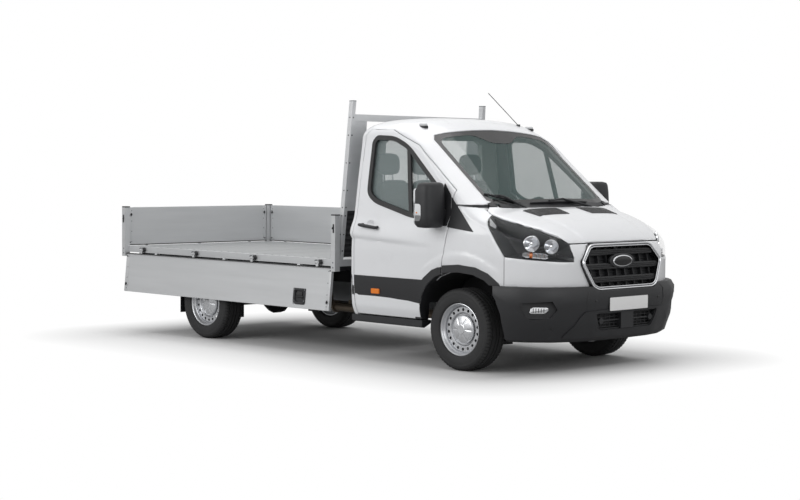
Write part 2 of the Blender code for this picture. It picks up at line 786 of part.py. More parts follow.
def fog_pocket(name, side):
    """A six-cornered pocket in the bumper's corner."""
    cx, cy, cz = FOG_CENTRE
    ax, ay = FOG_AIM
    half_wide, half_high = FOG_HALF
    corners = [(-1.0, 0.1), (-0.7, 1.0), (1.0, 0.8), (1.0, -0.2), (0.5, -1.0), (-0.6, -0.9)]
    sections = []
    for depth in (-FOG_DEPTH, 0.2):
        section = []
        for a, b in corners:
            along = a * half_wide
            x = cx + ax * depth - ay * along
            y = cy + ay * depth + ax * along
            section.append((x, side * y, cz + b * half_high))
        sections.append(section)
    return rings(name, sections)


def front_bumper():
    outer = rings("bumper_form", [[(x, y, z) for x, y in nose_outline(grow)] for z, grow in BUMPER_ROWS])
    cut(outer, prism_z("bumper_inside", nose_outline(-BUMPER_WALL), 0.0, 1.0))
    cut(outer, prism_x("bumper_grille", grown(mirrored(GRILLE_HALF), SEAT_GAP), 0.5, 1.3))
    cut(outer, prism_x("bumper_intake", mirrored(INTAKE), 0.8, 1.3))
    top, bottom = INTAKE[1][1] + 0.010, INTAKE[0][1] - 0.010
    wall_x = NOSE_PLAN[-1][0] - BUMPER_WALL
    reach = INTAKE[1][0] + 0.020
    join(outer, box("intake_back", wall_x - 0.006, wall_x + 0.002, -reach, reach, bottom, top))
    join(outer, box("intake_block", wall_x, 1.026, -BLOCK_HALF, BLOCK_HALF, bottom, top))
    join(outer, cylinder_y("intake_rod", 1.000, BOSS_Z, 0.008, -INTAKE[1][0], INTAKE[1][0], 8))
    for side, label in SIDES:
        join(outer, cylinder_x("intake_boss_" + label, side * BOSS_Y, BOSS_Z, 0.026, 0.980, 1.014, 12))
        join(outer, box("bumper_bracket_" + label, FRAME_FRONT + SEAT_GAP, wall_x + 0.01, *side_span(side, *BRACKET_Y), *BRACKET_Z))
        cut(outer, fog_pocket("bumper_fog_" + label, side))
        cut(outer, arch_cutter("bumper_arch_" + label, side, 0.0, 0.30))
    return part(outer, "front_bumper", "black_plastic")


def screen_outline(grow=0.0):
    """The windscreen's opening in Y and a distance up the slope."""
    length = math.dist(SCREEN_FOOT, SCREEN_HEAD)
    half = [(0.60, 0.045), (0.725, 0.075), (0.765, 0.130), (0.755, length - 0.100), (0.715, length - 0.045)]
    bottom, top = (0.0, 0.040), (0.0, length - 0.020)
    return grown([bottom] + half + [top] + [(-y, s) for y, s in reversed(half)], grow)


def screen_cutter(name, grow=0.0):
    (x0, z0), (x1, z1) = SCREEN_FOOT, SCREEN_HEAD
    along = Vector((x1 - x0, 0, z1 - z0)).normalized()
    normal = Vector((along.z, 0, -along.x))
    foot = Vector((x0, 0, z0))
    sections = []
    for depth in (-0.30, 0.20):
        corner = foot + normal * depth
        sections.append([corner + along * s + Vector((0, y, 0)) for y, s in screen_outline(grow)])
    return rings(name, sections)


def windscreen():
    inset = 0.004
    pane = cab_form("windscreen_pane", inset)
    cut(pane, cab_form("windscreen_inside", inset + GLASS, CAB_FLOOR))
    keep(pane, screen_cutter("windscreen_region", -SEAT_GAP))
    keep(pane, box("windscreen_front", -0.75, 1, -1, 1, 1.3, 2.12))
    return part(pane, "windscreen", "glass")


# Half of the rear window in Y and Z, from the bottom up
REAR_WINDOW_HALF = [(0.640, 1.500), (0.655, 1.700), (0.640, 1.930), (0.580, 1.965)]


def rear_window():
    outline = grown(mirrored(REAR_WINDOW_HALF), -SEAT_GAP)
    pane = prism_x("rear_pane", outline, CAB_REAR + 0.020, CAB_REAR + 0.020 + GLASS)
    return part(pane, "rear_window", "glass")


def foot_wall(name, side):
    """The closed inside of the wheel arch, where it rises through the cab's floor."""
    across = (ARCH_INNER_Y - ARCH_FOOT_WALL, LINER_OUTER_Y)
    wall = prism_y(name, arch_outline(ARCH_SHELL_GAP + ARCH_FOOT_WALL), *side_span(side, *across))
    keep(wall, box(name + "_span", -0.6, FIREWALL_FRONT, -FAR, FAR, CAB_UNDER, 1.0))
    return wall


def cab_shell():
    """The cab's floor, pillars, rear wall and roof, with its door, screen and window openings."""
    shell = cab_skin("cab_skin")
    cut(shell, box("cab_front_off", COWL_REAR, 1.3, -FAR, FAR, 0.0, 1.8))
    edge = shifted(list(reversed(DOOR_FRONT)), -0.001)
    room_top = WING_TOP + SHUT_GAP
    wing_room = [(DOOR_FRONT_LOW - 0.010, 0.2)] + edge[1:3]
    wing_room += [(edge[3][0], room_top), (0.6, room_top), (0.6, 0.2)]
    for side, label in SIDES:
        opening = cab_form("cab_door_" + label, -0.010, 0.2)
        cut(opening, cab_form("cab_door_inside_" + label, OPENING_DEPTH, 0.1))
        outline = grown(door_outline(SILL_BOTTOM - 0.05), SHUT_GAP)
        keep(opening, door_region("cab_door_region_" + label, side, outline, DOOR_INNER_Y - SHUT_GAP))
        cut(shell, opening)
        cut(shell, prism_y("cab_wing_" + label, wing_room, *side_span(side, 0.590)))
    cut(shell, screen_cutter("cab_screen"))
    cut(shell, prism_x("cab_rear_window", mirrored(REAR_WINDOW_HALF), CAB_REAR - 0.2, CAB_REAR + 0.3))
    under = SILL_INNER_Y
    cut(shell, box("cab_under", CAB_REAR - 0.100, 0.5, -under, under, 0.2, CAB_UNDER))
    firewall = cab_form("firewall", CAB_WALL + SHUT_GAP)
    keep(firewall, box("firewall_region", FIREWALL_REAR, FIREWALL_FRONT, -FAR, FAR, CAB_FLOOR - 0.030, 1.330))
    join(shell, firewall, foot_wall("foot_wall_right", -1), foot_wall("foot_wall_left", 1))
    for side, label in SIDES:
        cut(shell, arch_cutter("cab_arch_" + label, side, ARCH_SHELL_GAP))
    return part(shell, "cab_shell", "white_paint")


def side_step(side, label):
    """The black step under the door, hung from the sill."""
    sections = []
    for x in (CAB_REAR, -0.420):
        y0, y1 = SILL_INNER_Y, side_half(SILL_BOTTOM) + CLADDING
        top = SILL_BOTTOM - SEAT_GAP
        rows = ((y0, top), (y0, 0.370), (y1 - 0.030, 0.334), (y1, 0.345), (y1, top))
        sections.append([(x, side * y, z) for y, z in rows])
    return part(rings("side_step_form_" + label, sections), "side_step_" + label, "black_plastic")


def cowl():
    """The black panel under the windscreen, notched for the bonnet's hinges."""
    piece = cab_skin("cowl_skin")
    region = box("cowl_region", COWL_REAR + SEAT_GAP, 0.45, -COWL_HALF, COWL_HALF, COWL_BOTTOM, BONNET_TOP)
    keep(piece, region)
    cut(piece, bonnet_cutter("cowl_bonnet", LID_GAP))
    cut(piece, screen_cutter("cowl_screen", SEAT_GAP))
    x, _, z = BONNET_AXIS
    for side, label in SIDES:
        low, high = side_span(side, TONGUE_Y - NOTCH_HALF, TONGUE_Y + NOTCH_HALF)
        cut(piece, box("notch_" + label, NOTCH_REAR, 0.30, low, high, NOTCH_BOTTOM, BONNET_TOP))
        join(piece, cylinder_y("notch_pin_" + label, x, z, PIN_RADIUS, low - 0.004, high + 0.004, PIN_SIDES))
    return part(piece, "cowl", "black_plastic")


STEER_Y = 0.430
STEER_CENTRE = Vector((-0.430, STEER_Y, 1.290))
STEER_TILT = math.radians(32)
STEER_AXIS = Vector((-math.cos(STEER_TILT), 0, math.sin(STEER_TILT)))
STEER_RADIUS = 0.190
STEER_GRIP = 0.016
STEER_STEPS = 20
HUB_DEPTH = 0.040


def steer_point(along, across=0.0, angle=0.0):
    """A point at a distance along the column and across it, in metres."""
    side = Vector((0, 1, 0))
    up = STEER_AXIS.cross(side)
    return STEER_CENTRE + STEER_AXIS * along + (side * math.cos(angle) + up * math.sin(angle)) * across


def dashboard():
    """The dashboard on the firewall, with the steering column's cover."""
    front = FIREWALL_REAR - SEAT_GAP
    outline = [(front, 0.900), (front, 1.310), (0.000, 1.345), (-0.180, 1.290)]
    outline += [(-0.330, 1.200), (-0.330, 1.020), (-0.160, 0.900)]
    piece = prism_y("dash_form", outline, -0.830, 0.830)
    join(piece, rod("dash_column", [steer_point(-0.300), steer_point(-HUB_DEPTH - PIN_GAP)], 0.035))
    return part(piece, "dashboard", "black_plastic")


def steering_wheel():
    sections = []
    for k in range(STEER_STEPS):
        outward = (steer_point(0, 1, 2 * math.pi * k / STEER_STEPS) - STEER_CENTRE).normalized()
        centre = STEER_CENTRE + outward * (STEER_RADIUS - STEER_GRIP)
        sections.append([centre + outward * a + STEER_AXIS * b for a, b in circle(STEER_GRIP, 6)])
    wheel = rings("steer_rim", sections, closed=True)
    join(wheel, rod("steer_hub", [steer_point(-HUB_DEPTH), steer_point(0.005)], 0.060, 16))
    for k, angle in enumerate((0.0, math.pi, 1.5 * math.pi)):
        route = [steer_point(-0.018, 0.03, angle), steer_point(-0.002, STEER_RADIUS - 0.018, angle)]
        join(wheel, rod("steer_spoke%d" % k, route, 0.013, 6))
    return part(wheel, "steering_wheel", "black_plastic", STEER_CENTRE)


# Node, right edge, left edge, middles of its head restraints
SEATS = [
    ("seat_driver", 0.130, 0.640, (0.385,)),
    ("seat_bench", -0.840, 0.020, (-0.700, -0.255)),
]
# Outlines in X and Z
CUSHION = [(-0.560, 0.890), (-0.590, 0.990), (-1.080, 0.960), (-1.080, 0.840), (-0.600, 0.840)]
BACKREST = [(-0.980, 0.980), (-1.110, 1.600), (-1.190, 1.600), (-1.130, 0.930), (-1.000, 0.930)]
HEADREST = [(-1.130, 1.640), (-1.100, 1.680), (-1.120, 1.820), (-1.160, 1.840), (-1.200, 1.810), (-1.200, 1.640)]
HEADREST_HALF = 0.130
STEM_Y = 0.060


def seat(node, right, left, heads):
    """A seat: plinth, cushion and backrest, with head restraints on two stems each."""
    body = prism_y(node + "_cushion", CUSHION, right, left)
    back = prism_y(node + "_back", BACKREST, right + 0.01, left - 0.01)
    plinth = box(node + "_plinth", -1.060, -0.640, right + 0.05, left - 0.05, CAB_FLOOR + SEAT_GAP, 0.860)
    join(body, back, plinth)
    for k, y in enumerate(heads):
        join(body, prism_y("%s_head%d" % (node, k), HEADREST, y - HEADREST_HALF, y + HEADREST_HALF))
        for j, dy in enumerate((-STEM_Y, STEM_Y)):
            route = [(-1.150, y + dy, 1.56), (-1.160, y + dy, 1.68)]
            join(body, rod("%s_stem%d_%d" % (node, k, j), route, 0.007, 6))
    return part(body, node, "cloth")


# Wheels
ROUND = 24
RIM_WALL = 0.012
DISC_OFFSET = 0.040
HUB_RADIUS = 0.122
SPINDLE = 0.0334
HUB_BORE = (SPINDLE + PIN_GAP) / math.cos(math.pi / ROUND)
HOLES = 18
HOLE_RING = 0.168
HOLE_RADIUS = 0.0135
BEAD_SHARE = 0.80
# Share of the rise from bead to tread, share of the half width there
TYRE_SECTION = [(0.0, BEAD_SHARE), (0.12, 0.93), (0.45, 1.0), (0.80, 0.93), (0.94, 0.82), (1.0, 0.62)]


def tyre(name, x, y, side):
    """A closed tyre: tread, shoulders and sidewalls down to the bead, on the rim's outside."""
    half = TYRE_WIDTH / 2
    bead = RIM_RADIUS + SEAT_GAP
    rise = TYRE_RADIUS - bead
    profile = [(bead + rise * r, -w * half) for r, w in TYRE_SECTION]
    profile += [(bead + rise * r, w * half) for r, w in reversed(TYRE_SECTION)]
    return lathe_y(name, x, AXLE_Z, [(r, y + side * w) for r, w in profile], ROUND)


def rim(name, x, y, side):
    """A pressed steel wheel: flanged barrel, dished disc with a ring of holes, and a centre cap."""
    half = BEAD_SHARE * TYRE_WIDTH / 2
    inside = RIM_RADIUS - RIM_WALL
    well = inside - RIM_WALL
    face = DISC_OFFSET
    profile = [
        (RIM_RADIUS, -half),
        (RIM_RADIUS, half),
        (inside, half),
        (well, half - 0.030),
        (well, face + 0.004),
        (0.187, face + 0.014),
        (0.150, face + 0.014),
        (0.132, face - 0.002),
        (HUB_RADIUS, face + 0.018),
        (0.090, face + 0.034),
        (0.0, face + 0.040),
        (0.0, face + 0.012),
        (HUB_BORE, face + 0.012),
        (HUB_BORE, face - 0.026),
        (0.132, face - 0.014),
        (0.187, face - 0.002),
        (well, face - 0.014),
        (well, -half + 0.030),
        (inside, -half),
    ]
    body = lathe_y(name, x, AXLE_Z, [(r, y + side * w) for r, w in profile], ROUND)
    low, high = sorted((y, y + side * 0.090))
    for k in range(HOLES):
        angle = 2 * math.pi * (k + 0.35) / HOLES
        hx, hz = x + HOLE_RING * math.cos(angle), AXLE_Z + HOLE_RING * math.sin(angle)
        cut(body, cylinder_y(name + "_hole%d" % k, hx, hz, HOLE_RADIUS, low, high, 6))
    return body


# Label, X, side, track
WHEELS = [
    ("front_right", 0.0, -1, TRACK_FRONT),
    ("front_left", 0.0, 1, TRACK_FRONT),
    ("rear_right", REAR_X, -1, TRACK_REAR),
    ("rear_left", REAR_X, 1, TRACK_REAR),
]


def wheels():
    for label, x, side, track in WHEELS:
        y = side * track / 2
        origin = (x, y, AXLE_Z)
        part(rim("rim_form_" + label, x, y, side), "rim_" + label, "silver_steel", origin)
        part(tyre("tyre_form_" + label, x, y, side), "tyre_" + label, "rubber", origin)


KINGPIN_Y = TRACK_FRONT / 2 - 0.085
KINGPIN_LOW = 0.235
KINGPIN_HIGH = 0.500
KINGPIN_RADIUS = 0.014
KINGPIN_REACH = 0.030
KINGPIN_EYE = (KINGPIN_RADIUS + PIN_GAP) / math.cos(math.pi / ROUND)
UPRIGHT_HALF = 0.035
ARM_GAP = 0.007
ARM_THICK = 0.027
SPINDLE_END = DISC_OFFSET + 0.008


def knuckle(side, label):
    """The upright that turns on the kingpins and carries the front wheel's spindle."""
    y = side * KINGPIN_Y
    across = sorted((y - side * 0.020, y + side * 0.022))
    upright = box("upright_" + label, -UPRIGHT_HALF, UPRIGHT_HALF, *across, KINGPIN_LOW, KINGPIN_HIGH)
    hub = cylinder_y("upright_hub_" + label, 0, AXLE_Z, 0.060, *sorted((y, y + side * 0.070)), 16)
    end = side * (TRACK_FRONT / 2 + SPINDLE_END)
    stub = cylinder_y("upright_stub_" + label, 0, AXLE_Z, SPINDLE, *sorted((y, end)), ROUND)
    arm = box("upright_arm_" + label, -0.150, -0.02, *sorted((y - side * 0.018, y + side * 0.010)), 0.290, 0.320)
    join(upright, hub, stub, arm)
    for k, (z0, z1) in enumerate(((KINGPIN_LOW - KINGPIN_REACH, AXLE_Z), (AXLE_Z, KINGPIN_HIGH + KINGPIN_REACH))):
        join(upright, cylinder_z("pin_%s%d" % (label, k), 0, y, KINGPIN_RADIUS, z0, z1, ROUND))
    return part(upright, "knuckle_" + label, "dark_steel", (0, y, AXLE_Z))


SUBFRAME_TOP = 0.290


def front_subframe():
    """The crossmember, lower arms and spring struts that hold the knuckles."""
    beam = box("subframe_beam", -0.180, 0.160, -0.480, 0.480, 0.230, SUBFRAME_TOP)
    low = (KINGPIN_LOW - ARM_GAP - ARM_THICK, KINGPIN_LOW - ARM_GAP)
    high = (KINGPIN_HIGH + ARM_GAP, KINGPIN_HIGH + ARM_GAP + ARM_THICK)
    for side, label in SIDES:
        y = side * KINGPIN_Y
        tip = y + side * 0.028
        plan = [(-0.160, side * 0.42), (0.120, side * 0.42), (0.030, tip), (-0.030, tip)]
        arm = prism_z("lower_arm_" + label, plan, *low)
        lug = box("lower_lug_" + label, -0.150, 0.110, *side_span(side, 0.41, 0.47), low[0], 0.250)
        across = side_span(side, FRAME_HALF + SEAT_GAP, 0.470)
        post = box("strut_post_" + label, -0.060, 0.060, *across, 0.25, high[1] + 0.010)
        upper = box("upper_arm_" + label, -0.040, 0.040, *sorted((side * 0.435, tip)), *high)
        join(beam, arm, lug, post, upper)
        for row, (z0, z1) in enumerate(((low[0] - 0.1, KINGPIN_LOW), (KINGPIN_HIGH, high[1] + 0.1))):
            cut(beam, cylinder_z("eye_%s%d" % (label, row), 0, y, KINGPIN_EYE, z0, z1, ROUND))
    return part(beam, "front_subframe", "dark_steel")


SHAFT_FRONT = (-0.5515, 0.430)
NOSE_END = REAR_X + 0.260


def engine_block():
    """The engine and gearbox as one plain block, resting on the subframe."""
    block = box("engine_form", 0.100 + 0.080, 0.620, -0.260, 0.260, 0.400, 0.980)
    sump = box("engine_sump", 0.100, 0.400, -0.200, 0.200, SUBFRAME_TOP + SEAT_GAP, 0.450)
    gearbox = cylinder_x("gearbox", 0, SHAFT_FRONT[1], 0.115, SHAFT_FRONT[0] + 0.0015, 0.300, 16)
    join(block, sump, gearbox)
    return part(block, "engine_block", "dark_steel")


CROSS_HALF = 0.035
SPRING_HALF = 0.620
CROSS_XS = (-1.580, -2.400, REAR_X + SPRING_HALF, REAR_X - SPRING_HALF, -4.600)
MOUNT_XS = (-0.250, -1.150)
SPRING_Y = (0.490, 0.560)
SPRING_TOP = 0.530
# The rails in X and Z: the lower edge from the front, then the upper edge from the front
RAIL_LOWER = [
    (FRAME_FRONT - 0.020, FRAME_CAB_BOTTOM),
    (-1.250, FRAME_CAB_BOTTOM),
    (-1.500, FRAME_BOTTOM),
    (REAR_X + 0.750, FRAME_BOTTOM),
    (REAR_X + 0.300, FRAME_ARCH_BOTTOM),
    (REAR_X - 0.300, FRAME_ARCH_BOTTOM),
    (REAR_X - 0.600, FRAME_TAIL_BOTTOM),
    (BED_REAR + 0.150, FRAME_TAIL_BOTTOM),
]
RAIL_UPPER = [
    (FRAME_FRONT - 0.020, FRAME_CAB_TOP),
    (CAB_REAR - 0.030, FRAME_CAB_TOP),
    (CAB_REAR - 0.180, FRAME_TOP),
    (BED_REAR + 0.150, FRAME_TOP),
]


def chassis_frame():
    """Two rails that rise behind the cab and over the axle, with crossmembers and brackets."""
    outline = RAIL_LOWER + list(reversed(RAIL_UPPER))
    frame = None
    for side, label in SIDES:
        rail = prism_y("rail_" + label, outline, *side_span(side, FRAME_INNER, FRAME_HALF))
        frame = rail if frame is None else join(frame, rail)
    reach = FRAME_INNER + 0.010
    join(frame, box("cross_gearbox", -0.655, -0.585, -reach, reach, 0.300, FRAME_CAB_BOTTOM + 0.005))
    for k, x in enumerate(CROSS_XS):
        z = FRAME_ARCH_BOTTOM + 0.005
        join(frame, box("cross%d" % k, x - CROSS_HALF, x + CROSS_HALF, -reach, reach, z, FRAME_TOP - 0.010))
    join(frame, box("cross_front", FRAME_FRONT - 0.070, FRAME_FRONT, -0.500, 0.500, 0.420, FRAME_CAB_TOP - 0.005))
    for side, label in SIDES:
        for k, x in enumerate(MOUNT_XS):
            across = side_span(side, FRAME_INNER + 0.005, FRAME_HALF - 0.005)
            join(frame, box("mount_%s%d" % (label, k), x - 0.040, x + 0.040, *across, FRAME_CAB_TOP - 0.010, CAB_UNDER - SEAT_GAP))
        for k, x in enumerate((REAR_X + SPRING_HALF, REAR_X - SPRING_HALF)):
            across = side_span(side, FRAME_HALF - 0.030, SPRING_Y[1] + 0.005)
            join(frame, box("hanger_%s%d" % (label, k), x - 0.030, x + 0.030, *across, SPRING_TOP + SEAT_GAP, FRAME_TOP - 0.020))
    return part(frame, "chassis_frame", "grey_steel")


SPRING_STEPS = 8
SPRING_THICK = 0.030
SPRING_DIP = 0.090
DIFF_RADIUS = 0.155


def rear_axle():
    """The axle tube with its differential, spindles, leaf springs and spring plates."""
    tube_end = TRACK_REAR / 2 - 0.060
    end = TRACK_REAR / 2 + SPINDLE_END
    half = [(0.0, end), (SPINDLE, end), (SPINDLE, tube_end), (0.045, tube_end)]
    axle = lathe_y("axle_tube", REAR_X, AXLE_Z, half + [(r, -w) for r, w in reversed(half)], ROUND)
    for side, label in SIDES:
        spring = []
        for k in range(SPRING_STEPS + 1):
            share = 2 * k / SPRING_STEPS - 1
            spring.append((REAR_X + SPRING_HALF * share, SPRING_TOP - SPRING_DIP * (1 - share**2)))
        lower = shifted(list(reversed(spring)), 0.0, -SPRING_THICK)
        across = side_span(side, SPRING_Y[0] - 0.005, SPRING_Y[1] + 0.005)
        join(axle, box("spring_seat_" + label, REAR_X - 0.060, REAR_X + 0.060, *across, 0.190, AXLE_Z + 0.070))
        join(axle, prism_y("spring_" + label, spring + lower, *side_span(side, *SPRING_Y)))
    turns = [math.pi * k / 5 for k in range(6)]
    ball = [(max(DIFF_RADIUS * math.sin(a), 0.0), -DIFF_RADIUS * math.cos(a)) for a in turns]
    join(axle, lathe_y("axle_diff", REAR_X, AXLE_Z, ball, 12))
    join(axle, cylinder_x("axle_nose", 0, AXLE_Z, 0.060, REAR_X + 0.05, NOSE_END, 16))
    return part(axle, "rear_axle", "dark_steel")


def propshaft():
    route = [(SHAFT_FRONT[0], 0, SHAFT_FRONT[1]), (NOSE_END + 0.0015, 0, AXLE_Z)]
    return part(rod("shaft_form", route, 0.040, 12), "propshaft", "dark_steel")


PIPE_Y = -0.660
PIPE_Z = 0.410
PIPE_RADIUS = 0.042
CAN_X = (-2.000, -2.600)
CAN_Z = 0.490
CAN_RADIUS = 0.080
TAIL_RADIUS = 0.030


def exhaust():
    """The front pipe with its flange, the silencer and a tail that ends ahead of the rear wheel."""
    route = [(-0.300, -0.490, PIPE_Z), (-1.150, -0.600, PIPE_Z), (-1.450, PIPE_Y, PIPE_Z)]
    route += [(-1.880, PIPE_Y, PIPE_Z), (CAN_X[0] - 0.02, PIPE_Y, CAN_Z - 0.02)]
    pipe = rod("exhaust_form", route, PIPE_RADIUS)
    join(pipe, cylinder_x("exhaust_flange", PIPE_Y, PIPE_Z, PIPE_RADIUS + 0.016, -1.880, -1.864, 16))
    join(pipe, cylinder_x("exhaust_can", PIPE_Y, CAN_Z, CAN_RADIUS, CAN_X[1], CAN_X[0], 16))
    tail = [(CAN_X[1] + 0.02, PIPE_Y, CAN_Z), (-2.700, PIPE_Y, CAN_Z - 0.01), (-2.900, -0.830, 0.430)]
    join(pipe, rod("exhaust_tail", tail, TAIL_RADIUS, 10))
    for k, (x, z0, z1) in enumerate(((-1.680, PIPE_Z + 0.020, 0.480), (-2.500, CAN_Z + 0.040, 0.600))):
        across = (PIPE_Y - 0.010, -FRAME_HALF - SEAT_GAP)
        join(pipe, box("exhaust_hanger%d" % k, x - 0.015, x + 0.015, *across, z0, z1))
    return part(pipe, "exhaust", "exhaust_steel")


def fuel_tank():
    across = (FRAME_HALF + SEAT_GAP, 0.800)
    outline = [(-2.550, 0.360), (-2.510, 0.330), (-1.690, 0.330), (-1.650, 0.360), (-1.650, 0.605), (-2.550, 0.605)]
    return part(prism_y("tank_form", outline, *across), "fuel_tank", "black_plastic")


# Edges of the bed
BOARD_HINGE_Y = BED_HALF - BOARD_THICK
HINGE_Z = BED_FLOOR - BOARD_HINGE_DROP
BOARD_BOTTOM = BED_FLOOR + 0.005
POST_INSIDE_FRONT = BED_FRONT - POST_LENGTH
POST_INSIDE_REAR = BED_REAR + POST_LENGTH
RAIL_BOTTOM = BED_FLOOR - RAIL_HEIGHT
RING_FRONT = BED_FRONT - 0.005
RING_REAR = BED_REAR + RAIL_INSET
RING_INNER_Y = RAIL_Y - RAIL_WIDTH
FLOOR_BOTTOM = BED_FLOOR - FLOOR_BOARD
BEARERS = 8
BEARER_HALF = 0.025
BEARER_PITCH = (RING_FRONT - RING_REAR - 0.30) / (BEARERS - 1)
SIDE_HINGES = (-4.517, -3.642, -2.734, -1.794)
TAIL_HINGES = (-0.700, 0.0, 0.700)
EYE_HALF = 0.015
LUG_WIDTH = 0.012
LUG_GAP = 0.002
STOP_XS = (-4.300, -3.190, -2.080)
STOP_Z = 0.770
STOP_HALF = 0.020


def hanging_face(z):
    """Distance from the truck's middle to the inward face of a side board that hangs open."""
    lean = math.radians(BOARD_LEAN)
    along = (HINGE_Z - BOARD_THICK * math.sin(lean) - z) / math.cos(lean)
    return BOARD_HINGE_Y + along * math.sin(lean) - BOARD_THICK * math.cos(lean)


def bearer_x(k):
    return RING_FRONT - 0.15 - BEARER_PITCH * k


def bed_subframe():
    """Runners on the chassis rails and the cross-bearers that carry the floor and the edge rails."""
    frame = None
    top = FLOOR_BOTTOM - SEAT_GAP
    reach = RING_INNER_Y - SEAT_GAP
    for k in range(BEARERS):
        x = bearer_x(k)
        bearer = box("bearer%d" % k, x - BEARER_HALF, x + BEARER_HALF, -reach, reach, RUNNER_TOP, top)
        frame = bearer if frame is None else join(frame, bearer)
    for side, label in SIDES:
        across = side_span(side, FRAME_INNER, FRAME_HALF)
        runner = box("runner_" + label, RING_REAR + 0.10, RING_FRONT - 0.02, *across, FRAME_TOP + SEAT_GAP, RUNNER_TOP + 0.005)
        join(frame, runner)
    return part(frame, "bed_subframe", "dark_steel")


def bed_frame():
    """The edge rails round the floor, the corner posts, the boards' hinges and their stops."""
    ring = box("bed_ring", RING_REAR, RING_FRONT, -RAIL_Y, RAIL_Y, RAIL_BOTTOM, BED_FLOOR)
    inside = (RING_REAR + RAIL_WIDTH, RING_FRONT - RAIL_WIDTH, -RING_INNER_Y, RING_INNER_Y)
    cut(ring, box("bed_ring_inside", *inside, 0.7, 1.0))
    pin_reach = EYE_HALF + LUG_GAP + LUG_WIDTH
    lug_z = (HINGE_Z - BARREL_RADIUS, HINGE_Z + BARREL_RADIUS)
    for side, label in SIDES:
        for end, x0 in (("front", POST_INSIDE_FRONT), ("rear", BED_REAR)):
            across = side_span(side, BED_HALF - POST_WIDTH, BED_HALF)
            post = box("post_%s_%s" % (end, label), x0, x0 + POST_LENGTH, *across, POST_BOTTOM, BOARD_TOP + 0.006)
            join(ring, post)
        for k, x in enumerate(SIDE_HINGES):
            name = "hinge_%s%d" % (label, k)
            across = side_span(side, RAIL_Y - 0.005, BOARD_HINGE_Y + 0.008)
            for j, sign in enumerate((-1, 1)):
                x0, x1 = sorted((x + sign * (EYE_HALF + LUG_GAP), x + sign * pin_reach))
                join(ring, box("%s_lug%d" % (name, j), x0, x1, *across, *lug_z))
            y = side * BOARD_HINGE_Y
            join(ring, cylinder_x(name + "_pin", y, HINGE_Z, PIN_RADIUS, x - pin_reach + 0.002, x + pin_reach - 0.002, PIN_SIDES))
        for k, x in enumerate(STOP_XS):
            low = side * (hanging_face(STOP_Z - STOP_HALF) - SEAT_GAP)
            high = side * (hanging_face(STOP_Z + STOP_HALF) - SEAT_GAP)
            root, tip = side * (RAIL_Y - 0.035), side * (RAIL_Y - 0.005)
            stop = [(root, STOP_Z - STOP_HALF), (low, STOP_Z - STOP_HALF), (high, STOP_Z + STOP_HALF)]
            stop += [(tip, RAIL_BOTTOM + 0.010), (root, RAIL_BOTTOM + 0.010)]
            join(ring, prism_x("stop_%s%d" % (label, k), stop, x - 0.02, x + 0.02))
    for k, y in enumerate(TAIL_HINGES):
        x0, x1 = BED_REAR + BOARD_THICK - 0.008, RING_REAR + 0.005
        for j, sign in enumerate((-1, 1)):
            y0, y1 = sorted((y + sign * (EYE_HALF + LUG_GAP), y + sign * pin_reach))
            join(ring, box("tail_hinge%d_lug%d" % (k, j), x0, x1, y0, y1, *lug_z))
        reach = pin_reach - 0.002
        join(ring, cylinder_y("tail_hinge%d_pin" % k, BED_REAR + BOARD_THICK, HINGE_Z, PIN_RADIUS, y - reach, y + reach, PIN_SIDES))
    return part(ring, "bed_frame", "aluminium")


PLANKS = 22
PLANK_GROOVE = 0.004


def bed_floor():
    """The floor: planks across the bed with shallow grooves between them."""
    gap = RAIL_WIDTH + SEAT_GAP
    front, rear = RING_FRONT - gap, RING_REAR + gap
    pitch = (front - rear) / PLANKS
    outline = []
    for k in range(PLANKS):
        x = rear + pitch * k
        outline += [(x, BED_FLOOR - PLANK_GROOVE), (x + 0.15 * pitch, BED_FLOOR), (x + 0.85 * pitch, BED_FLOOR)]
    outline += [(front, BED_FLOOR - PLANK_GROOVE), (front, FLOOR_BOTTOM), (rear, FLOOR_BOTTOM)]
    y = RAIL_Y - gap
    return part(prism_y("floor_form", outline, -y, y), "bed_floor", "aluminium")


GROOVE_DEPTH = 0.004
GROOVE_SHARES = (0.333, 0.667)


def board_profile(inner, outer):
    """A board's section: flat inside, two shallow grooves outside. Across, then Z."""
    sign = 1 if outer > inner else -1
    points = [(inner, BOARD_BOTTOM), (outer, BOARD_BOTTOM)]
    for share in GROOVE_SHARES:
        z = BOARD_BOTTOM + (BOARD_TOP - BOARD_BOTTOM) * share
        deep = outer - sign * GROOVE_DEPTH
        points += [(outer, z - 0.010), (deep, z - 0.006), (deep, z + 0.006), (outer, z + 0.010)]
    return points + [(outer, BOARD_TOP), (inner, BOARD_TOP)]


# The handle's pocket in a side board's inner face
POCKET_X = (-2.090, -1.915)
POCKET_Z = (1.086, 1.238)
POCKET_DEPTH = 0.010


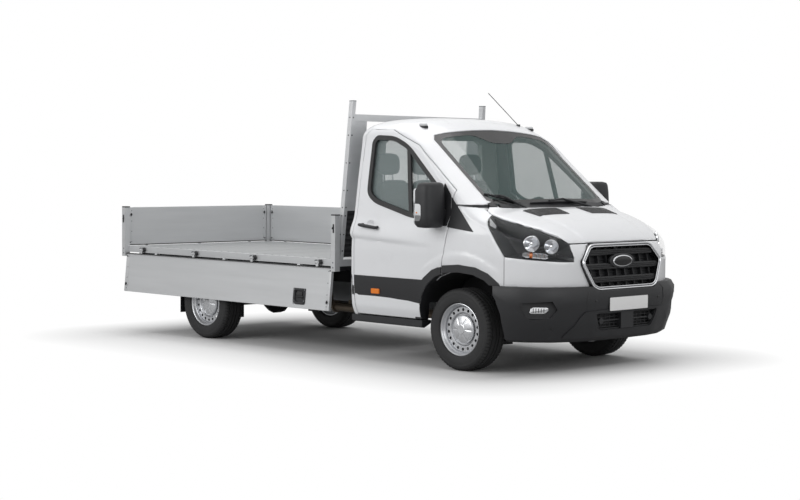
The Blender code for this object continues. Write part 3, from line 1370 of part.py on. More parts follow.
def side_board(side, label):
    """A side board with its hinge eyes. The right one hangs open."""
    inner, outer = side * BOARD_HINGE_Y, side * BED_HALF
    x0, x1 = POST_INSIDE_REAR + SWING_GAP, POST_INSIDE_FRONT - SWING_GAP
    board = prism_x("board_form_" + label, board_profile(inner, outer), x0, x1)
    pocket = side_span(side, BOARD_HINGE_Y - 0.1, BOARD_HINGE_Y + POCKET_DEPTH)
    cut(board, box("pocket_" + label, *POCKET_X, *pocket, *POCKET_Z))
    for k, x in enumerate(SIDE_HINGES):
        name = "eye_%s%d" % (label, k)
        span = (x - EYE_HALF, x + EYE_HALF)
        strap = box(name + "_strap", *span, *side_span(side, BOARD_HINGE_Y, BOARD_HINGE_Y + 0.008), HINGE_Z, BOARD_BOTTOM + 0.010)
        join(board, join(strap, cylinder_x(name + "_barrel", inner, HINGE_Z, BARREL_RADIUS, *span, PIN_SIDES)))
        cut(board, cylinder_x(name + "_bore", inner, HINGE_Z, EYE_RADIUS, x - 0.03, x + 0.03, PIN_SIDES))
    axis = (0.5 * (x0 + x1), inner, HINGE_Z)
    obj = part(board, "board_" + label, "aluminium", axis)
    if side < 0:
        settled(obj).rotation_euler.x = math.radians(180 - BOARD_LEAN)
    return obj


def tail_board():
    """The tail board with its hinge eyes."""
    reach = BED_HALF - POST_WIDTH - SWING_GAP
    inner = BED_REAR + BOARD_THICK
    board = prism_y("board_form_tail", board_profile(inner, BED_REAR), -reach, reach)
    for k, y in enumerate(TAIL_HINGES):
        name = "tail_eye%d" % k
        span = (y - EYE_HALF, y + EYE_HALF)
        strap = box(name + "_strap", inner - 0.008, inner, *span, HINGE_Z, BOARD_BOTTOM + 0.010)
        join(board, join(strap, cylinder_y(name + "_barrel", inner, HINGE_Z, BARREL_RADIUS, *span, PIN_SIDES)))
        cut(board, cylinder_y(name + "_bore", inner, HINGE_Z, EYE_RADIUS, y - 0.03, y + 0.03, PIN_SIDES))
    return part(board, "board_tail", "aluminium", (inner, 0, HINGE_Z))


# The headboard leans: its foot and top in X and Y
HEAD_FOOT = (BED_FRONT - 0.030, 0.912)
HEAD_TOP = (-1.445, 0.862)
HEAD_POST_HALF = (0.025, 0.020)
HEAD_STRIP_INNER = 0.680
# Name, low Z, high Z, half thickness of each cross piece
HEAD_BARS = [("rail", 1.315, 1.373, 0.016), ("bar", 2.130, 2.190, 0.018)]
HEAD_STRIP = (1.360, 2.140, 0.008)
HEAD_LOW = (BED_FLOOR + 0.020, 1.320)
RIBS = 9
RIB_DEPTH = 0.010
RIB_THICK = 0.006


def head_point(z):
    """The headboard's X and half width at height z."""
    t = (z - BED_FLOOR) / (HEADBOARD_TOP - BED_FLOOR)
    return [foot + (top - foot) * t for foot, top in zip(HEAD_FOOT, HEAD_TOP)]


def head_panel(name, z0, z1, thick, side, inner=None):
    """A flat piece in the headboard's plane, from the post on one side in to a distance off the middle."""
    sections = []
    for z in (z0, z1):
        x, y = head_point(z)
        start = -y if inner is None else inner
        corners = [(x - thick, start), (x + thick, start), (x + thick, y), (x - thick, y)]
        sections.append([(cx, side * cy, z) for cx, cy in corners])
    return rings(name, sections)


def head_ribs():
    """The ribbed sheet below the middle rail."""
    low, high = HEAD_LOW
    outer, inner = [], []
    for k in range(2 * RIBS + 1):
        z = low + (high - low) * k / (2 * RIBS)
        x = head_point(z)[0] + RIB_DEPTH * (0.5 if k % 2 else -0.5)
        outer.append((x + RIB_THICK, z))
        inner.append((x - RIB_THICK, z))
    y = HEAD_FOOT[1] - 0.010
    return prism_y("head_ribs", outer + list(reversed(inner)), -y, y)


def headboard():
    """Inclined posts with a crossbar, a middle rail over ribbed sheet, and a strip beside each post."""
    frame = head_ribs()
    half_x, half_y = HEAD_POST_HALF
    corners = [(-half_x, -half_y), (half_x, -half_y), (half_x, half_y), (-half_x, half_y)]
    for side, label in SIDES:
        sections = []
        for z in (BED_FLOOR + SEAT_GAP, HEADBOARD_TOP):
            x, y = head_point(z)
            sections.append([(x + dx, side * (y + dy), z) for dx, dy in corners])
        join(frame, rings("head_post_" + label, sections))
        join(frame, head_panel("head_strip_" + label, *HEAD_STRIP, side, HEAD_STRIP_INNER))
    for name, z0, z1, thick in HEAD_BARS:
        join(frame, head_panel("head_" + name, z0, z1, thick, 1))
    return part(frame, "headboard", "grey_panel")


GUARD_RADII = (0.405, 0.385)
GUARD_THICK = 0.008
GUARD_STEPS = 8
GUARD_Y = (0.700, 0.945)
GUARD_BEARERS = (4, 5)
FLAP_BOTTOM = 0.235


def guard_point(angle, inset=0.0):
    rx, rz = GUARD_RADII
    return (REAR_X + (rx - inset) * math.cos(angle), AXLE_Z + (rz - inset) * math.sin(angle))


def mudguard(side, label):
    """The arched guard over a rear wheel, hung from two cross-bearers, with its flap."""
    turns = [math.pi * (0.10 + 0.80 * k / GUARD_STEPS) for k in range(GUARD_STEPS + 1)]
    outline = [guard_point(a) for a in turns] + [guard_point(a, GUARD_THICK) for a in reversed(turns)]
    guard = prism_y("guard_form_" + label, outline, *side_span(side, *GUARD_Y))
    for k in GUARD_BEARERS:
        x = bearer_x(k)
        rise = math.sqrt(1 - ((x - REAR_X) / GUARD_RADII[0]) ** 2)
        low = AXLE_Z + GUARD_RADII[1] * rise - 0.012
        bracket = box("guard_bracket_%s%d" % (label, k), x - 0.015, x + 0.015, *side_span(side, 0.740, 0.770), low, RUNNER_TOP - SEAT_GAP)
        join(guard, bracket)
    end = guard_point(turns[-1])
    join(guard, box("flap_" + label, end[0] - 0.002, end[0] + GUARD_THICK - 0.002, *side_span(side, *GUARD_Y), FLAP_BOTTOM, end[1] + 0.010))
    return part(guard, "mudguard_" + label, "black_plastic")


LAMP_BAR_X = BED_REAR + 0.150
LAMP_BAR_Z = (0.560, 0.615)
REAR_LAMP_Y = (0.560, 0.840)


def lamp_bar():
    """The bar across the ends of the chassis rails with the two rear lamps."""
    front = LAMP_BAR_X - SEAT_GAP
    bar = box("lamp_bar_form", front - 0.040, front, -0.850, 0.850, *LAMP_BAR_Z)
    for side, label in SIDES:
        lamp = box("rear_lamp_" + label, front - 0.075, front - 0.030, *side_span(side, *REAR_LAMP_Y), 0.530, 0.645)
        join(bar, lamp)
    return part(bar, "rear_lamp_bar", "black_plastic")


AERIAL_X = -0.700
AERIAL_Y = 0.550
AERIAL_TIP = (-1.080, 2.417)


def roof_height(x, y):
    """Height of the cab's top over a point in X and Y."""
    for row0, row1 in zip(CAB_SECTIONS, CAB_SECTIONS[1:]):
        if x <= row1[0]:
            break
    share = (x - row0[0]) / (row1[0] - row0[0])
    _, width, shoulder, middle, square = [a + (b - a) * share for a, b in zip(row0, row1)]
    edge = side_half(shoulder) * width
    return shoulder + (middle - shoulder) * (1 - (y / edge) ** square) ** (1 / square)


def aerial():
    """The roof aerial on its foot, leaning back."""
    foot = roof_height(AERIAL_X, AERIAL_Y)
    tip_x, tip_z = AERIAL_TIP
    base = cylinder_z("aerial_base", AERIAL_X, AERIAL_Y, 0.018, foot - 0.030, foot + 0.020, 10)
    join(base, rod("aerial_mast", [(AERIAL_X, AERIAL_Y, foot + 0.010), (tip_x, AERIAL_Y, tip_z)], 0.0035, 6))
    cut(base, seat_cutter("aerial_seat"))
    return part(base, "aerial", "black_plastic")


def build():
    clear_scene()
    truck_frame()
    for side, label in SIDES:
        for make in (door, door_glass, door_cladding, mirror, wing, flare, headlamp, front_panel):
            make(side, label)
        for make in (side_step, knuckle, side_board, mudguard):
            make(side, label)
    for make in (cab_shell, bonnet, front_bumper, grille, grille_frame, windscreen, rear_window, cowl):
        make()
    for make in (dashboard, steering_wheel, wheels, front_subframe, engine_block, chassis_frame):
        make()
    for make in (rear_axle, propshaft, exhaust, fuel_tank, bed_subframe, bed_frame, bed_floor):
        make()
    for make in (tail_board, headboard, lamp_bar, aerial):
        make()
    for row in SEATS:
        seat(*row)


build()
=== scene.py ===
"""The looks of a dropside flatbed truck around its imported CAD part. Lengths are in metres."""
import math

import bmesh
import bpy
from mathutils import Matrix, Vector
from mathutils.bvhtree import BVHTree
from mathutils.geometry import delaunay_2d_cdt

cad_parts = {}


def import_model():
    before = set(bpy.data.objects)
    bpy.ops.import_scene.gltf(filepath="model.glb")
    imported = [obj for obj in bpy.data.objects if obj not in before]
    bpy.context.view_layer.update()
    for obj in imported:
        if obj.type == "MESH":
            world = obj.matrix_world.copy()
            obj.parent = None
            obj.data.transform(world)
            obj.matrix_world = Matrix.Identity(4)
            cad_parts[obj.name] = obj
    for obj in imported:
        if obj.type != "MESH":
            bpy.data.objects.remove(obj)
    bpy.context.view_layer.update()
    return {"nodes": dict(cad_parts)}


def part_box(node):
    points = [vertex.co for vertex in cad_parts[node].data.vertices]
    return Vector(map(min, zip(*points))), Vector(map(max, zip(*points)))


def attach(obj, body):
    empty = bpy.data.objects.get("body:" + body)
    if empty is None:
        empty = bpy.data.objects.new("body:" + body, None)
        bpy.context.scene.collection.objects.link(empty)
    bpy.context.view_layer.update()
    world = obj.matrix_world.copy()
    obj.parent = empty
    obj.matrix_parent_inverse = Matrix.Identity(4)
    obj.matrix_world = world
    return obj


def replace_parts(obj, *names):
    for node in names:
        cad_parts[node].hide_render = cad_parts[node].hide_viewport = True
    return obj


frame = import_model()
NODES = frame["nodes"]
SIDES = ((-1, "right"), (1, "left"))
WELD = 1e-6
CAD_WELD = 1e-5
X, Y, Z = Vector((1, 0, 0)), Vector((0, 1, 0)), Vector((0, 0, 1))


# Pieces are drawn in the frame of the front axle: X forward from it, Y to the left, Z up from the ground
ORIGIN = X * (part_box("tyre_front_left")[0][0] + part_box("tyre_front_left")[1][0]) / 2


def corners_of(node):
    """The low and the high corner of a CAD node's box, in the frame of the front axle."""
    return [Vector(corner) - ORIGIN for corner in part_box(node)]


# Materials

UNEVENNESS = 0.15
# The range of two noises' sum over which a finish's gloss changes
GLOSS_RANGE = (0.6, 1.4)
RELIEF_DEPTH = 0.001


def add_node(tree, kind, inputs=None, **settings):
    """A shader node with its settings and inputs. An input is a value or another node's output."""
    node = tree.nodes.new(kind)
    for key, value in settings.items():
        setattr(node, key, value)
    for key, value in (inputs or {}).items():
        if isinstance(value, bpy.types.NodeSocket):
            tree.links.new(value, node.inputs[key])
        else:
            node.inputs[key].default_value = value
    return node


def noise(tree, place, scale, detail=3.0):
    inputs = {"Vector": place, "Scale": scale, "Detail": detail}
    return add_node(tree, "ShaderNodeTexNoise", inputs).outputs["Fac"]


def spread(tree, value, low, high, to_low=0.0, to_high=1.0):
    """The value's range from low to high, stretched over another range."""
    inputs = {"Value": value, "From Min": low, "From Max": high, "To Min": to_low, "To Max": to_high}
    return add_node(tree, "ShaderNodeMapRange", inputs).outputs["Result"]


def blend_colours(tree, share, first, second):
    inputs = {0: share, 6: first, 7: second}
    return add_node(tree, "ShaderNodeMix", inputs, data_type="RGBA").outputs[2]


def shade(colour, factor):
    return (*[min(1.0, c * factor) for c in colour], 1.0)


def surface(name, slot, colour, rough, metal=0.0, mottle=0.05, blotch=6.0, grain=400.0, bump=0.1,
            stretch=(1, 1, 1), **sockets):
    """A procedural finish: a mottled colour, uneven gloss and a fine relief, in the piece's own space."""
    material = bpy.data.materials.new(name)
    material.use_nodes = True
    material["slot"] = slot
    tree = material.node_tree
    shader = tree.nodes["Principled BSDF"]
    shader.inputs["Metallic"].default_value = metal
    for key, value in sockets.items():
        shader.inputs[key.replace("_", " ")].default_value = value
    place = add_node(tree, "ShaderNodeTexCoord").outputs["Object"]
    place = add_node(tree, "ShaderNodeMapping", {"Vector": place, "Scale": stretch}).outputs["Vector"]
    broad = noise(tree, place, blotch)
    fine = noise(tree, place, grain, 2.0)
    tint = blend_colours(tree, broad, shade(colour, 1 - mottle), shade(colour, 1 + mottle))
    tree.links.new(tint, shader.inputs["Base Color"])
    gloss = add_node(tree, "ShaderNodeMath", {0: broad, 1: fine}, operation="ADD").outputs[0]
    rougher = spread(tree, gloss, *GLOSS_RANGE, rough * (1 - UNEVENNESS), rough * (1 + UNEVENNESS))
    tree.links.new(rougher, shader.inputs["Roughness"])
    relief = add_node(tree, "ShaderNodeBump", {"Strength": bump, "Distance": RELIEF_DEPTH, "Height": fine})
    tree.links.new(relief.outputs["Normal"], shader.inputs["Normal"])
    return material


WHITE = surface("white_paint", "white_paint", (0.80, 0.81, 0.83), 0.30, mottle=0.01, grain=900, bump=0.02,
                Coat_Weight=0.6, Coat_Roughness=0.06)
TRIM = surface("interior_trim", "black_plastic", (0.16, 0.165, 0.17), 0.65, grain=1200, bump=0.3)
LINING = surface("roof_lining", "cloth", (0.42, 0.43, 0.42), 0.90, grain=1500, bump=0.4)
BLACK = surface("black_plastic", "black_plastic", (0.013, 0.0135, 0.0155), 0.52, mottle=0.08, grain=1400,
                bump=0.35)
GLOSS_BLACK = surface("gloss_black", "black_plastic", (0.012, 0.012, 0.013), 0.22, grain=900, bump=0.03)
RUBBER = surface("tyre_rubber", "rubber", (0.020, 0.020, 0.021), 0.72, mottle=0.15, grain=700, bump=0.5)
SEAL = surface("window_rubber", "rubber", (0.014, 0.014, 0.015), 0.55, grain=900, bump=0.1)
CHROME = surface("chrome", "chrome", (0.78, 0.79, 0.81), 0.10, 1.0, mottle=0.02, bump=0.01)
SILVER = surface("silver_steel", "silver_steel", (0.60, 0.61, 0.63), 0.32, 0.75, mottle=0.03, grain=900,
                 bump=0.02)
CAP = surface("wheel_cap", "silver_steel", (0.66, 0.67, 0.69), 0.26, 0.7, mottle=0.02, grain=900, bump=0.01)
ALUMINIUM = surface("aluminium", "aluminium", (0.60, 0.61, 0.62), 0.42, 0.55, mottle=0.07, blotch=2.5,
                    grain=60, bump=0.10, stretch=(0.6, 0.6, 9.0))
FLOOR_ALUMINIUM = surface("floor_aluminium", "aluminium", (0.37, 0.38, 0.385), 0.40, 0.55, mottle=0.10,
                          grain=70, bump=0.15, stretch=(9.0, 0.5, 1.0))
GREY_STEEL = surface("grey_steel", "grey_steel", (0.20, 0.21, 0.22), 0.45, 0.4, mottle=0.15, grain=500,
                     bump=0.2)
DARK_STEEL = surface("dark_steel", "dark_steel", (0.028, 0.028, 0.030), 0.50, 0.5, mottle=0.25, grain=300,
                     bump=0.4)
CAST = surface("cast_metal", "dark_steel", (0.09, 0.09, 0.095), 0.60, 0.7, mottle=0.25, grain=260, bump=0.6)
EXHAUST = surface("exhaust_steel", "exhaust_steel", (0.16, 0.13, 0.10), 0.45, 0.8, mottle=0.30, blotch=12,
                  bump=0.3)
CLOTH = surface("seat_cloth", "cloth", (0.20, 0.205, 0.21), 0.95, grain=2200, bump=0.8, Sheen_Weight=0.4)
REFLECTOR = surface("reflector", "lamp", (0.85, 0.86, 0.88), 0.08, 1.0, mottle=0.02, bump=0.02)
LAMP_DARK = surface("lamp_housing", "lamp", (0.035, 0.037, 0.040), 0.35, grain=800, bump=0.05)
AMBER = surface("amber_lens", "lamp", (0.85, 0.22, 0.02), 0.15, grain=500, bump=0.05)
FROSTED = surface("marker_lens", "lamp", (0.50, 0.51, 0.52), 0.20, grain=500, bump=0.05)
RED = surface("red_lens", "lamp", (0.45, 0.010, 0.012), 0.15, grain=500, bump=0.05)
PLATE = surface("plate_white", "white_paint", (0.86, 0.86, 0.86), 0.35, mottle=0.01, bump=0.03)


def clear(name, slot, tint, alpha):
    """A clear or tinted pane: light passes it, and it keeps a little of its own colour and its gloss."""
    return surface(name, slot, tint, 0.03, mottle=0.02, bump=0.0, Alpha=alpha, Coat_Weight=1.0)


GLASS = clear("window_glass", "glass", (0.07, 0.16, 0.15), 0.20)
# The side windows' pane is paler and less clear than the windscreen's: a painted reflection of light on the
# glass, over its own tint
SIDE_GLASS_PAINTED_SHEEN = clear("side_glass_painted_sheen", "glass", (0.30, 0.37, 0.37), 0.36)
LENS = clear("lamp_lens", "lamp", (0.10, 0.105, 0.11), 0.04)


# Finishes of the CAD nodes


def smoothing(angle):
    """A geometry node group that welds a CAD mesh and shades it smooth up to an angle."""
    tree = bpy.data.node_groups.new("smooth_cad", "GeometryNodeTree")
    for way in ("INPUT", "OUTPUT"):
        tree.interface.new_socket("Geometry", in_out=way, socket_type="NodeSocketGeometry")
    start = add_node(tree, "NodeGroupInput").outputs[0]
    plain = add_node(tree, "GeometryNodeRemoveAttribute", {"Geometry": start, "Name": "custom_normal"})
    inputs = {"Geometry": plain.outputs[0], "Distance": CAD_WELD}
    welded = add_node(tree, "GeometryNodeMergeByDistance", inputs)
    faces = add_node(tree, "GeometryNodeSetShadeSmooth", {"Geometry": welded.outputs[0]}, domain="FACE")
    turn = add_node(tree, "GeometryNodeInputMeshEdgeAngle").outputs["Unsigned Angle"]
    sharp = add_node(tree, "FunctionNodeCompare", {0: turn, 1: angle}, operation="GREATER_THAN").outputs[0]
    inputs = {"Geometry": faces.outputs[0], "Selection": sharp, "Shade Smooth": False}
    edges = add_node(tree, "GeometryNodeSetShadeSmooth", inputs, domain="EDGE")
    add_node(tree, "NodeGroupOutput", {0: edges.outputs[0]})
    return tree


SMOOTH = smoothing(math.radians(32))


def dress(node, material, others=()):
    """A CAD node's finish. Each of the others is a test of a face's centre and normal, and its finish."""
    obj = NODES[node]
    obj.data.materials.clear()
    obj.data.materials.append(material)
    for test, other in others:
        obj.data.materials.append(other)
    for face in obj.data.polygons:
        face.material_index = 0
        for index, (test, other) in enumerate(others):
            if test(face.center - ORIGIN, face.normal):
                face.material_index = index + 1
    modifier = obj.modifiers.new("smooth", "NODES")
    modifier.node_group = SMOOTH


CAB_MIDDLE = Vector((-0.60, 0.0, 1.15))
CAB_INSIDE_Y = 0.93
ROOF_LINING_Z = 1.45
ARCH = Vector((0.045, 0.0, 0.35))
ARCH_RADIUS = 0.54
# How far a normal has to lean: inward to the wheel, away from the nose's outside, along the truck
FACING_ARCH = 0.4
FACING_IN = 0.3
FACING_AHEAD = 0.2
# The rear of the front wheel's arch in the cab, its top, and how far out it reaches
ARCH_BOX = (-0.56, 0.90, 0.955)
# How far out, up and forward the space under the nose reaches
NOSE_BOX = (0.90, 0.87, 0.62)
# The top of the band painted black low on the headboard's front as painted shade, where the cab shadows the
# aluminium boards, and how far out it reaches
HEAD_PAINTED_SHADE = (1.312, 0.90)


def in_cab(centre, normal):
    """Whether a face of the cab looks inward."""
    deep = abs(centre.y) < CAB_INSIDE_Y or centre.z > ROOF_LINING_Z
    return deep and normal.dot(centre - CAB_MIDDLE) < 0


def in_roof(centre, normal):
    return centre.z > ROOF_LINING_Z and in_cab(centre, normal)


def in_arch(centre, normal):
    """Whether a face of the cab is in the front wheel's arch."""
    rear, top, out = ARCH_BOX
    return centre.x > rear and centre.z < top and abs(centre.y) < out


def faces_arch(centre, normal):
    """Whether a face is on the inner edge of the front wheel's opening."""
    inward = Vector((ARCH.x - centre.x, 0.0, ARCH.z - centre.z))
    return inward.length < ARCH_RADIUS and normal.dot(inward.normalized()) > FACING_ARCH


def under_nose(centre, normal):
    """Whether a face of the nose or a wing looks inward or at the wheel."""
    out, top, front = NOSE_BOX
    inward = normal.y * centre.y < 0.0 or normal.x < -FACING_IN or normal.z < -FACING_IN
    return inward or abs(centre.y) < out and centre.z < top and centre.x < front


def under_bonnet(centre, normal):
    return normal.z < 0.0


def head_painted_shade(centre, normal):
    """Whether a face is low on the headboard's front, where black stands in for the cab's shadow on the
    aluminium: painted shade.
    """
    top, out = HEAD_PAINTED_SHADE
    return centre.z < top and abs(centre.y) < out and abs(normal.x) > FACING_AHEAD


# Nodes, with a star for the end of a name, their finish, and tests of a face with the finish it then gets
CAD_FINISHES = [
    ("cab_shell", WHITE, [(in_cab, TRIM), (in_roof, LINING), (in_arch, BLACK), (faces_arch, BLACK)]),
    ("door_*", WHITE, [(in_cab, TRIM), (faces_arch, BLACK)]),
    ("wing_*", WHITE, [(under_nose, BLACK), (faces_arch, BLACK)]),
    ("front_panel_*", WHITE, [(under_nose, BLACK)]),
    ("bonnet", WHITE, [(under_bonnet, DARK_STEEL)]),
    # The headboard's low front is painted black as painted shade from the cab
    ("headboard", ALUMINIUM, [(head_painted_shade, BLACK)]),
    ("windscreen rear_window", GLASS, []),
    # The door glass gets the paler pane with its painted reflection
    ("door_glass_*", SIDE_GLASS_PAINTED_SHEEN, []),
    ("headlamp_*", LENS, []),
    ("door_cladding_* mirror_* flare_* side_step_* mudguard_* grille front_bumper cowl", BLACK, []),
    ("steering_wheel fuel_tank aerial", BLACK, []),
    ("grille_frame", GLOSS_BLACK, []),
    ("dashboard", TRIM, []),
    ("seat_*", CLOTH, []),
    ("chassis_frame", GREY_STEEL, []),
    ("front_subframe rear_axle propshaft rear_lamp_bar bed_subframe", DARK_STEEL, []),
    ("engine_block knuckle_*", CAST, []),
    ("exhaust", EXHAUST, []),
    ("rim_*", SILVER, []),
    ("tyre_*", RUBBER, []),
    ("bed_frame board_*", ALUMINIUM, []),
    ("bed_floor", FLOOR_ALUMINIUM, []),
]
NAME_ENDS = "left right front_left front_right rear_left rear_right driver bench tail".split()


def matching(pattern):
    """The CAD nodes that a name stands for."""
    if not pattern.endswith("*"):
        return [pattern]
    return [pattern[:-1] + end for end in NAME_ENDS if pattern[:-1] + end in NODES]


for patterns, material, others in CAD_FINISHES:
    for node in [node for pattern in patterns.split() for node in matching(pattern)]:
        dress(node, material, others)


# Forms

# The sharpest corner that is drawn in fully, as the cosine of half its turn
SHARPEST = 0.4
# The share of an outline's side that a corner's rounding may take
ROUNDED = 0.45


def spot(x, y):
    """A point of a flat outline."""
    return Vector((x, y))


def inset(outline, by):
    """The outline drawn in by a distance at every corner."""
    area = sum(a.x * b.y - b.x * a.y for a, b in zip(outline, outline[1:] + outline[:1]))
    turn = 1 if area > 0 else -1
    drawn = []
    for before, here, after in zip(outline[-1:] + outline[:-1], outline, outline[1:] + outline[:1]):
        a, b = (here - before).normalized(), (after - here).normalized()
        first, second = spot(-a.y, a.x) * turn, spot(-b.y, b.x) * turn
        middle = (first + second).normalized()
        drawn.append(here + middle * (by / max(SHARPEST, middle.dot(first))))
    return drawn


def fillet(corners, radius, steps=5):
    """An outline whose corners are rounded."""
    corners = [spot(*c) for c in corners]
    rounded = []
    for before, here, after in zip(corners[-1:] + corners[:-1], corners, corners[1:] + corners[:1]):
        reach = min(radius, ROUNDED * (before - here).length, ROUNDED * (after - here).length)
        first = here + (before - here).normalized() * reach
        last = here + (after - here).normalized() * reach
        for k in range(steps + 1):
            t = k / steps
            rounded.append(first * (1 - t) ** 2 + here * 2 * t * (1 - t) + last * t * t)
    return rounded


def rectangle(half_wide, half_high):
    return [(x * half_wide, y * half_high) for x, y in ((-1, -1), (1, -1), (1, 1), (-1, 1))]


def turns_of(count):
    """A full turn in equal steps."""
    return [2 * math.pi * k / count for k in range(count)]


def ellipse(half_wide, half_high, count=32):
    return [spot(half_wide * math.cos(a), half_high * math.sin(a)) for a in turns_of(count)]


def resampled(outline, step):
    """The outline with points no further apart than a step."""
    points = []
    for a, b in zip(outline, outline[1:] + outline[:1]):
        count = max(1, math.ceil((b - a).length / step))
        points += [a.lerp(b, k / count) for k in range(count)]
    return points


def plane(origin, across, up):
    """The matrix of a flat frame: across, up and out of the plane."""
    across = Vector(across).normalized()
    out = across.cross(Vector(up)).normalized()
    return Matrix.Translation(Vector(origin)) @ Matrix((across, out.cross(across), out)).transposed().to_4x4()


BEVEL_TURNS = (0.4, 0.8, 1.2, 1.5)


class Shape:
    """Points and faces gathered for one piece."""

    def __init__(self):
        self.points = []
        self.faces = []

    def add(self, points, faces):
        start = len(self.points)
        self.points += [Vector(p) for p in points]
        self.faces += [[start + i for i in face] for face in faces]
        return self

    def loft(self, sections, closed=False, caps=True):
        """Rings of as many points each, joined in order."""
        count = len(sections[0])
        faces = []
        for k in range(len(sections) if closed else len(sections) - 1):
            a, b = k * count, (k + 1) % len(sections) * count
            faces += [[a + i, a + (i + 1) % count, b + (i + 1) % count, b + i] for i in range(count)]
        if caps and not closed:
            end = (len(sections) - 1) * count
            faces += [list(reversed(range(count))), list(range(end, end + count))]
        return self.add([p for section in sections for p in section], faces)

    def lathe(self, centre, axis, profile, count=48, caps=True):
        """Rows of distance along the axis and radius, turned about it."""
        axis = Vector(axis).normalized()
        side = axis.orthogonal().normalized()
        up = axis.cross(side)
        around = [side * math.cos(a) + up * math.sin(a) for a in turns_of(count)]
        sections = [[Vector(centre) + axis * along + way * max(radius, WELD / 9) for way in around]
                    for along, radius in profile]
        return self.loft(sections, caps=caps)

    def tube(self, route, radius, count=10, closed=False):
        """A round bar along a route. The radius is one value, or one for each point."""
        route = [Vector(p) for p in route]
        radii = radius if isinstance(radius, (list, tuple)) else [radius] * len(route)
        side = (route[1] - route[0]).orthogonal().normalized()
        sections = []
        for k, (here, size) in enumerate(zip(route, radii)):
            before = route[k - 1] if k or closed else here
            after = route[(k + 1) % len(route)] if k + 1 < len(route) or closed else here
            ahead = (after - before).normalized()
            side = (side - ahead * side.dot(ahead)).normalized()
            up = ahead.cross(side)
            sections.append([here + (side * math.cos(a) + up * math.sin(a)) * size for a in turns_of(count)])
        return self.loft(sections, closed)

    def plate(self, outline, place, low, high, bevel=0.0):
        """A flat outline from one height to another over its plane, with its upper edge rounded."""
        outline = [spot(*p) for p in outline]
        rows = [(low, 0.0), (high - bevel, 0.0)]
        if bevel:
            rows += [(high - bevel * (1 - math.sin(a)), bevel * (1 - math.cos(a))) for a in BEVEL_TURNS]
        sections = [[place @ Vector((*p, height)) for p in inset(outline, by)] for height, by in rows]
        return self.loft(sections)

    def block(self, low, high, bevel=0.002):
        """A box between two corners with a rounded top edge."""
        low, high = Vector(low), Vector(high)
        size, centre = high - low, (high + low) / 2
        place = plane((centre.x, centre.y, low.z), X, Y)
        return self.plate(rectangle(size.x / 2, size.y / 2), place, 0.0, size.z, bevel)

    def block_on(self, flat, low, high, bottom, top, bevel=0.001):
        """A box on a plane between two corners of it."""
        outline = [(low[0], low[1]), (high[0], low[1]), (high[0], high[1]), (low[0], high[1])]
        return self.plate(outline, flat, bottom, top, bevel)

    def mirrored(self):
        """This shape and its twin on the other side of the truck."""
        count = len(self.points)
        twins = [Vector((p.x, -p.y, p.z)) for p in self.points]
        return self.add(twins, [list(reversed(face)) for face in self.faces])


def piece(name, shape, material, body="truck", smooth=35):
    """A shape as an object that rides on a body."""
    mesh = bpy.data.meshes.new(name)
    mesh.from_pydata([p + ORIGIN for p in shape.points], [], shape.faces)
    form = bmesh.new()
    form.from_mesh(mesh)
    bmesh.ops.remove_doubles(form, verts=form.verts, dist=WELD)
    bmesh.ops.dissolve_degenerate(form, edges=form.edges, dist=WELD)
    bmesh.ops.recalc_face_normals(form, faces=form.faces)
    form.to_mesh(mesh)
    form.free()
    mesh.shade_smooth()
    mesh.set_sharp_from_angle(angle=math.radians(smooth))
    mesh.materials.append(material)
    obj = bpy.data.objects.new(name, mesh)
    bpy.context.scene.collection.objects.link(obj)
    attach(obj, body)
    return obj


class Surface:
    """The faces of CAD nodes, to find where a straight line meets them."""

    def __init__(self, *nodes):
        self.trees = []
        for node in nodes:
            mesh = NODES[node].data
            points = [v.co - ORIGIN for v in mesh.vertices]
            self.trees.append(BVHTree.FromPolygons(points, [list(p.vertices) for p in mesh.polygons]))

    def hit(self, start, way):
        """The nearest point met and the surface's normal there, turned against the line, or None."""
        best = None
        for tree in self.trees:
            point, normal, _, far = tree.ray_cast(Vector(start), Vector(way))
            if point is not None and (best is None or far < best[2]):
                best = (point, normal if normal.dot(Vector(way)) < 0 else -normal, far)
        return best


GAP_REACH = 0.008
# How far inner points stay from an outline, as a share of the grid
OFF_EDGE = 0.4
FLAT_WELD = 1e-7


def drape(surface, outline, place, way, rise, holes=(), step=0.02, depth=0.002):
    """A layer on a surface: a flat outline sent onto it along a line, and raised over it.

    place turns the outline's point into the line's start. The layer ends depth below the surface.
    """
    rings = [resampled([spot(*p) for p in ring], step) for ring in (outline, *holes)]
    points, edges = [], []
    for ring in rings:
        start = len(points)
        points += ring
        edges += [(start + k, start + (k + 1) % len(ring)) for k in range(len(ring))]
    low = spot(min(p.x for p in rings[0]), min(p.y for p in rings[0]))
    high = spot(max(p.x for p in rings[0]), max(p.y for p in rings[0]))
    for i in range(1, math.ceil((high.x - low.x) / step)):
        for j in range(1, math.ceil((high.y - low.y) / step)):
            p = low + spot(i * step, j * step)
            if within(p, rings) and all(away(p, ring) > OFF_EDGE * step for ring in rings):
                points.append(p)
    found, _, faces, _, _, _ = delaunay_2d_cdt(points, edges, [], 0, FLAT_WELD)
    middles = [sum((found[i] for i in face), spot(0, 0)) / len(face) for face in faces]
    top = [list(face) for face, middle in zip(faces, middles) if within(middle, rings)]
    upper, lower, kept = [], [], {}
    for i in sorted({i for face in top for i in face}):
        start = place(found[i])
        met = surface.hit(start, way) or nearby(surface, start, way)
        if met is None:
            continue
        kept[i] = len(upper)
        upper.append(met[0] + met[1] * rise)
        lower.append(met[0] - met[1] * depth)
    top = [[kept[i] for i in face] for face in top if all(i in kept for i in face)]
    sides = {(a, b) for face in top for a, b in zip(face, face[1:] + face[:1])}
    count = len(upper)
    walls = [[a, a + count, b + count, b] for a, b in sorted(sides) if (b, a) not in sides]
    bottom = [[i + count for i in reversed(face)] for face in top]
    return Shape().add(upper + lower, top + walls + bottom)


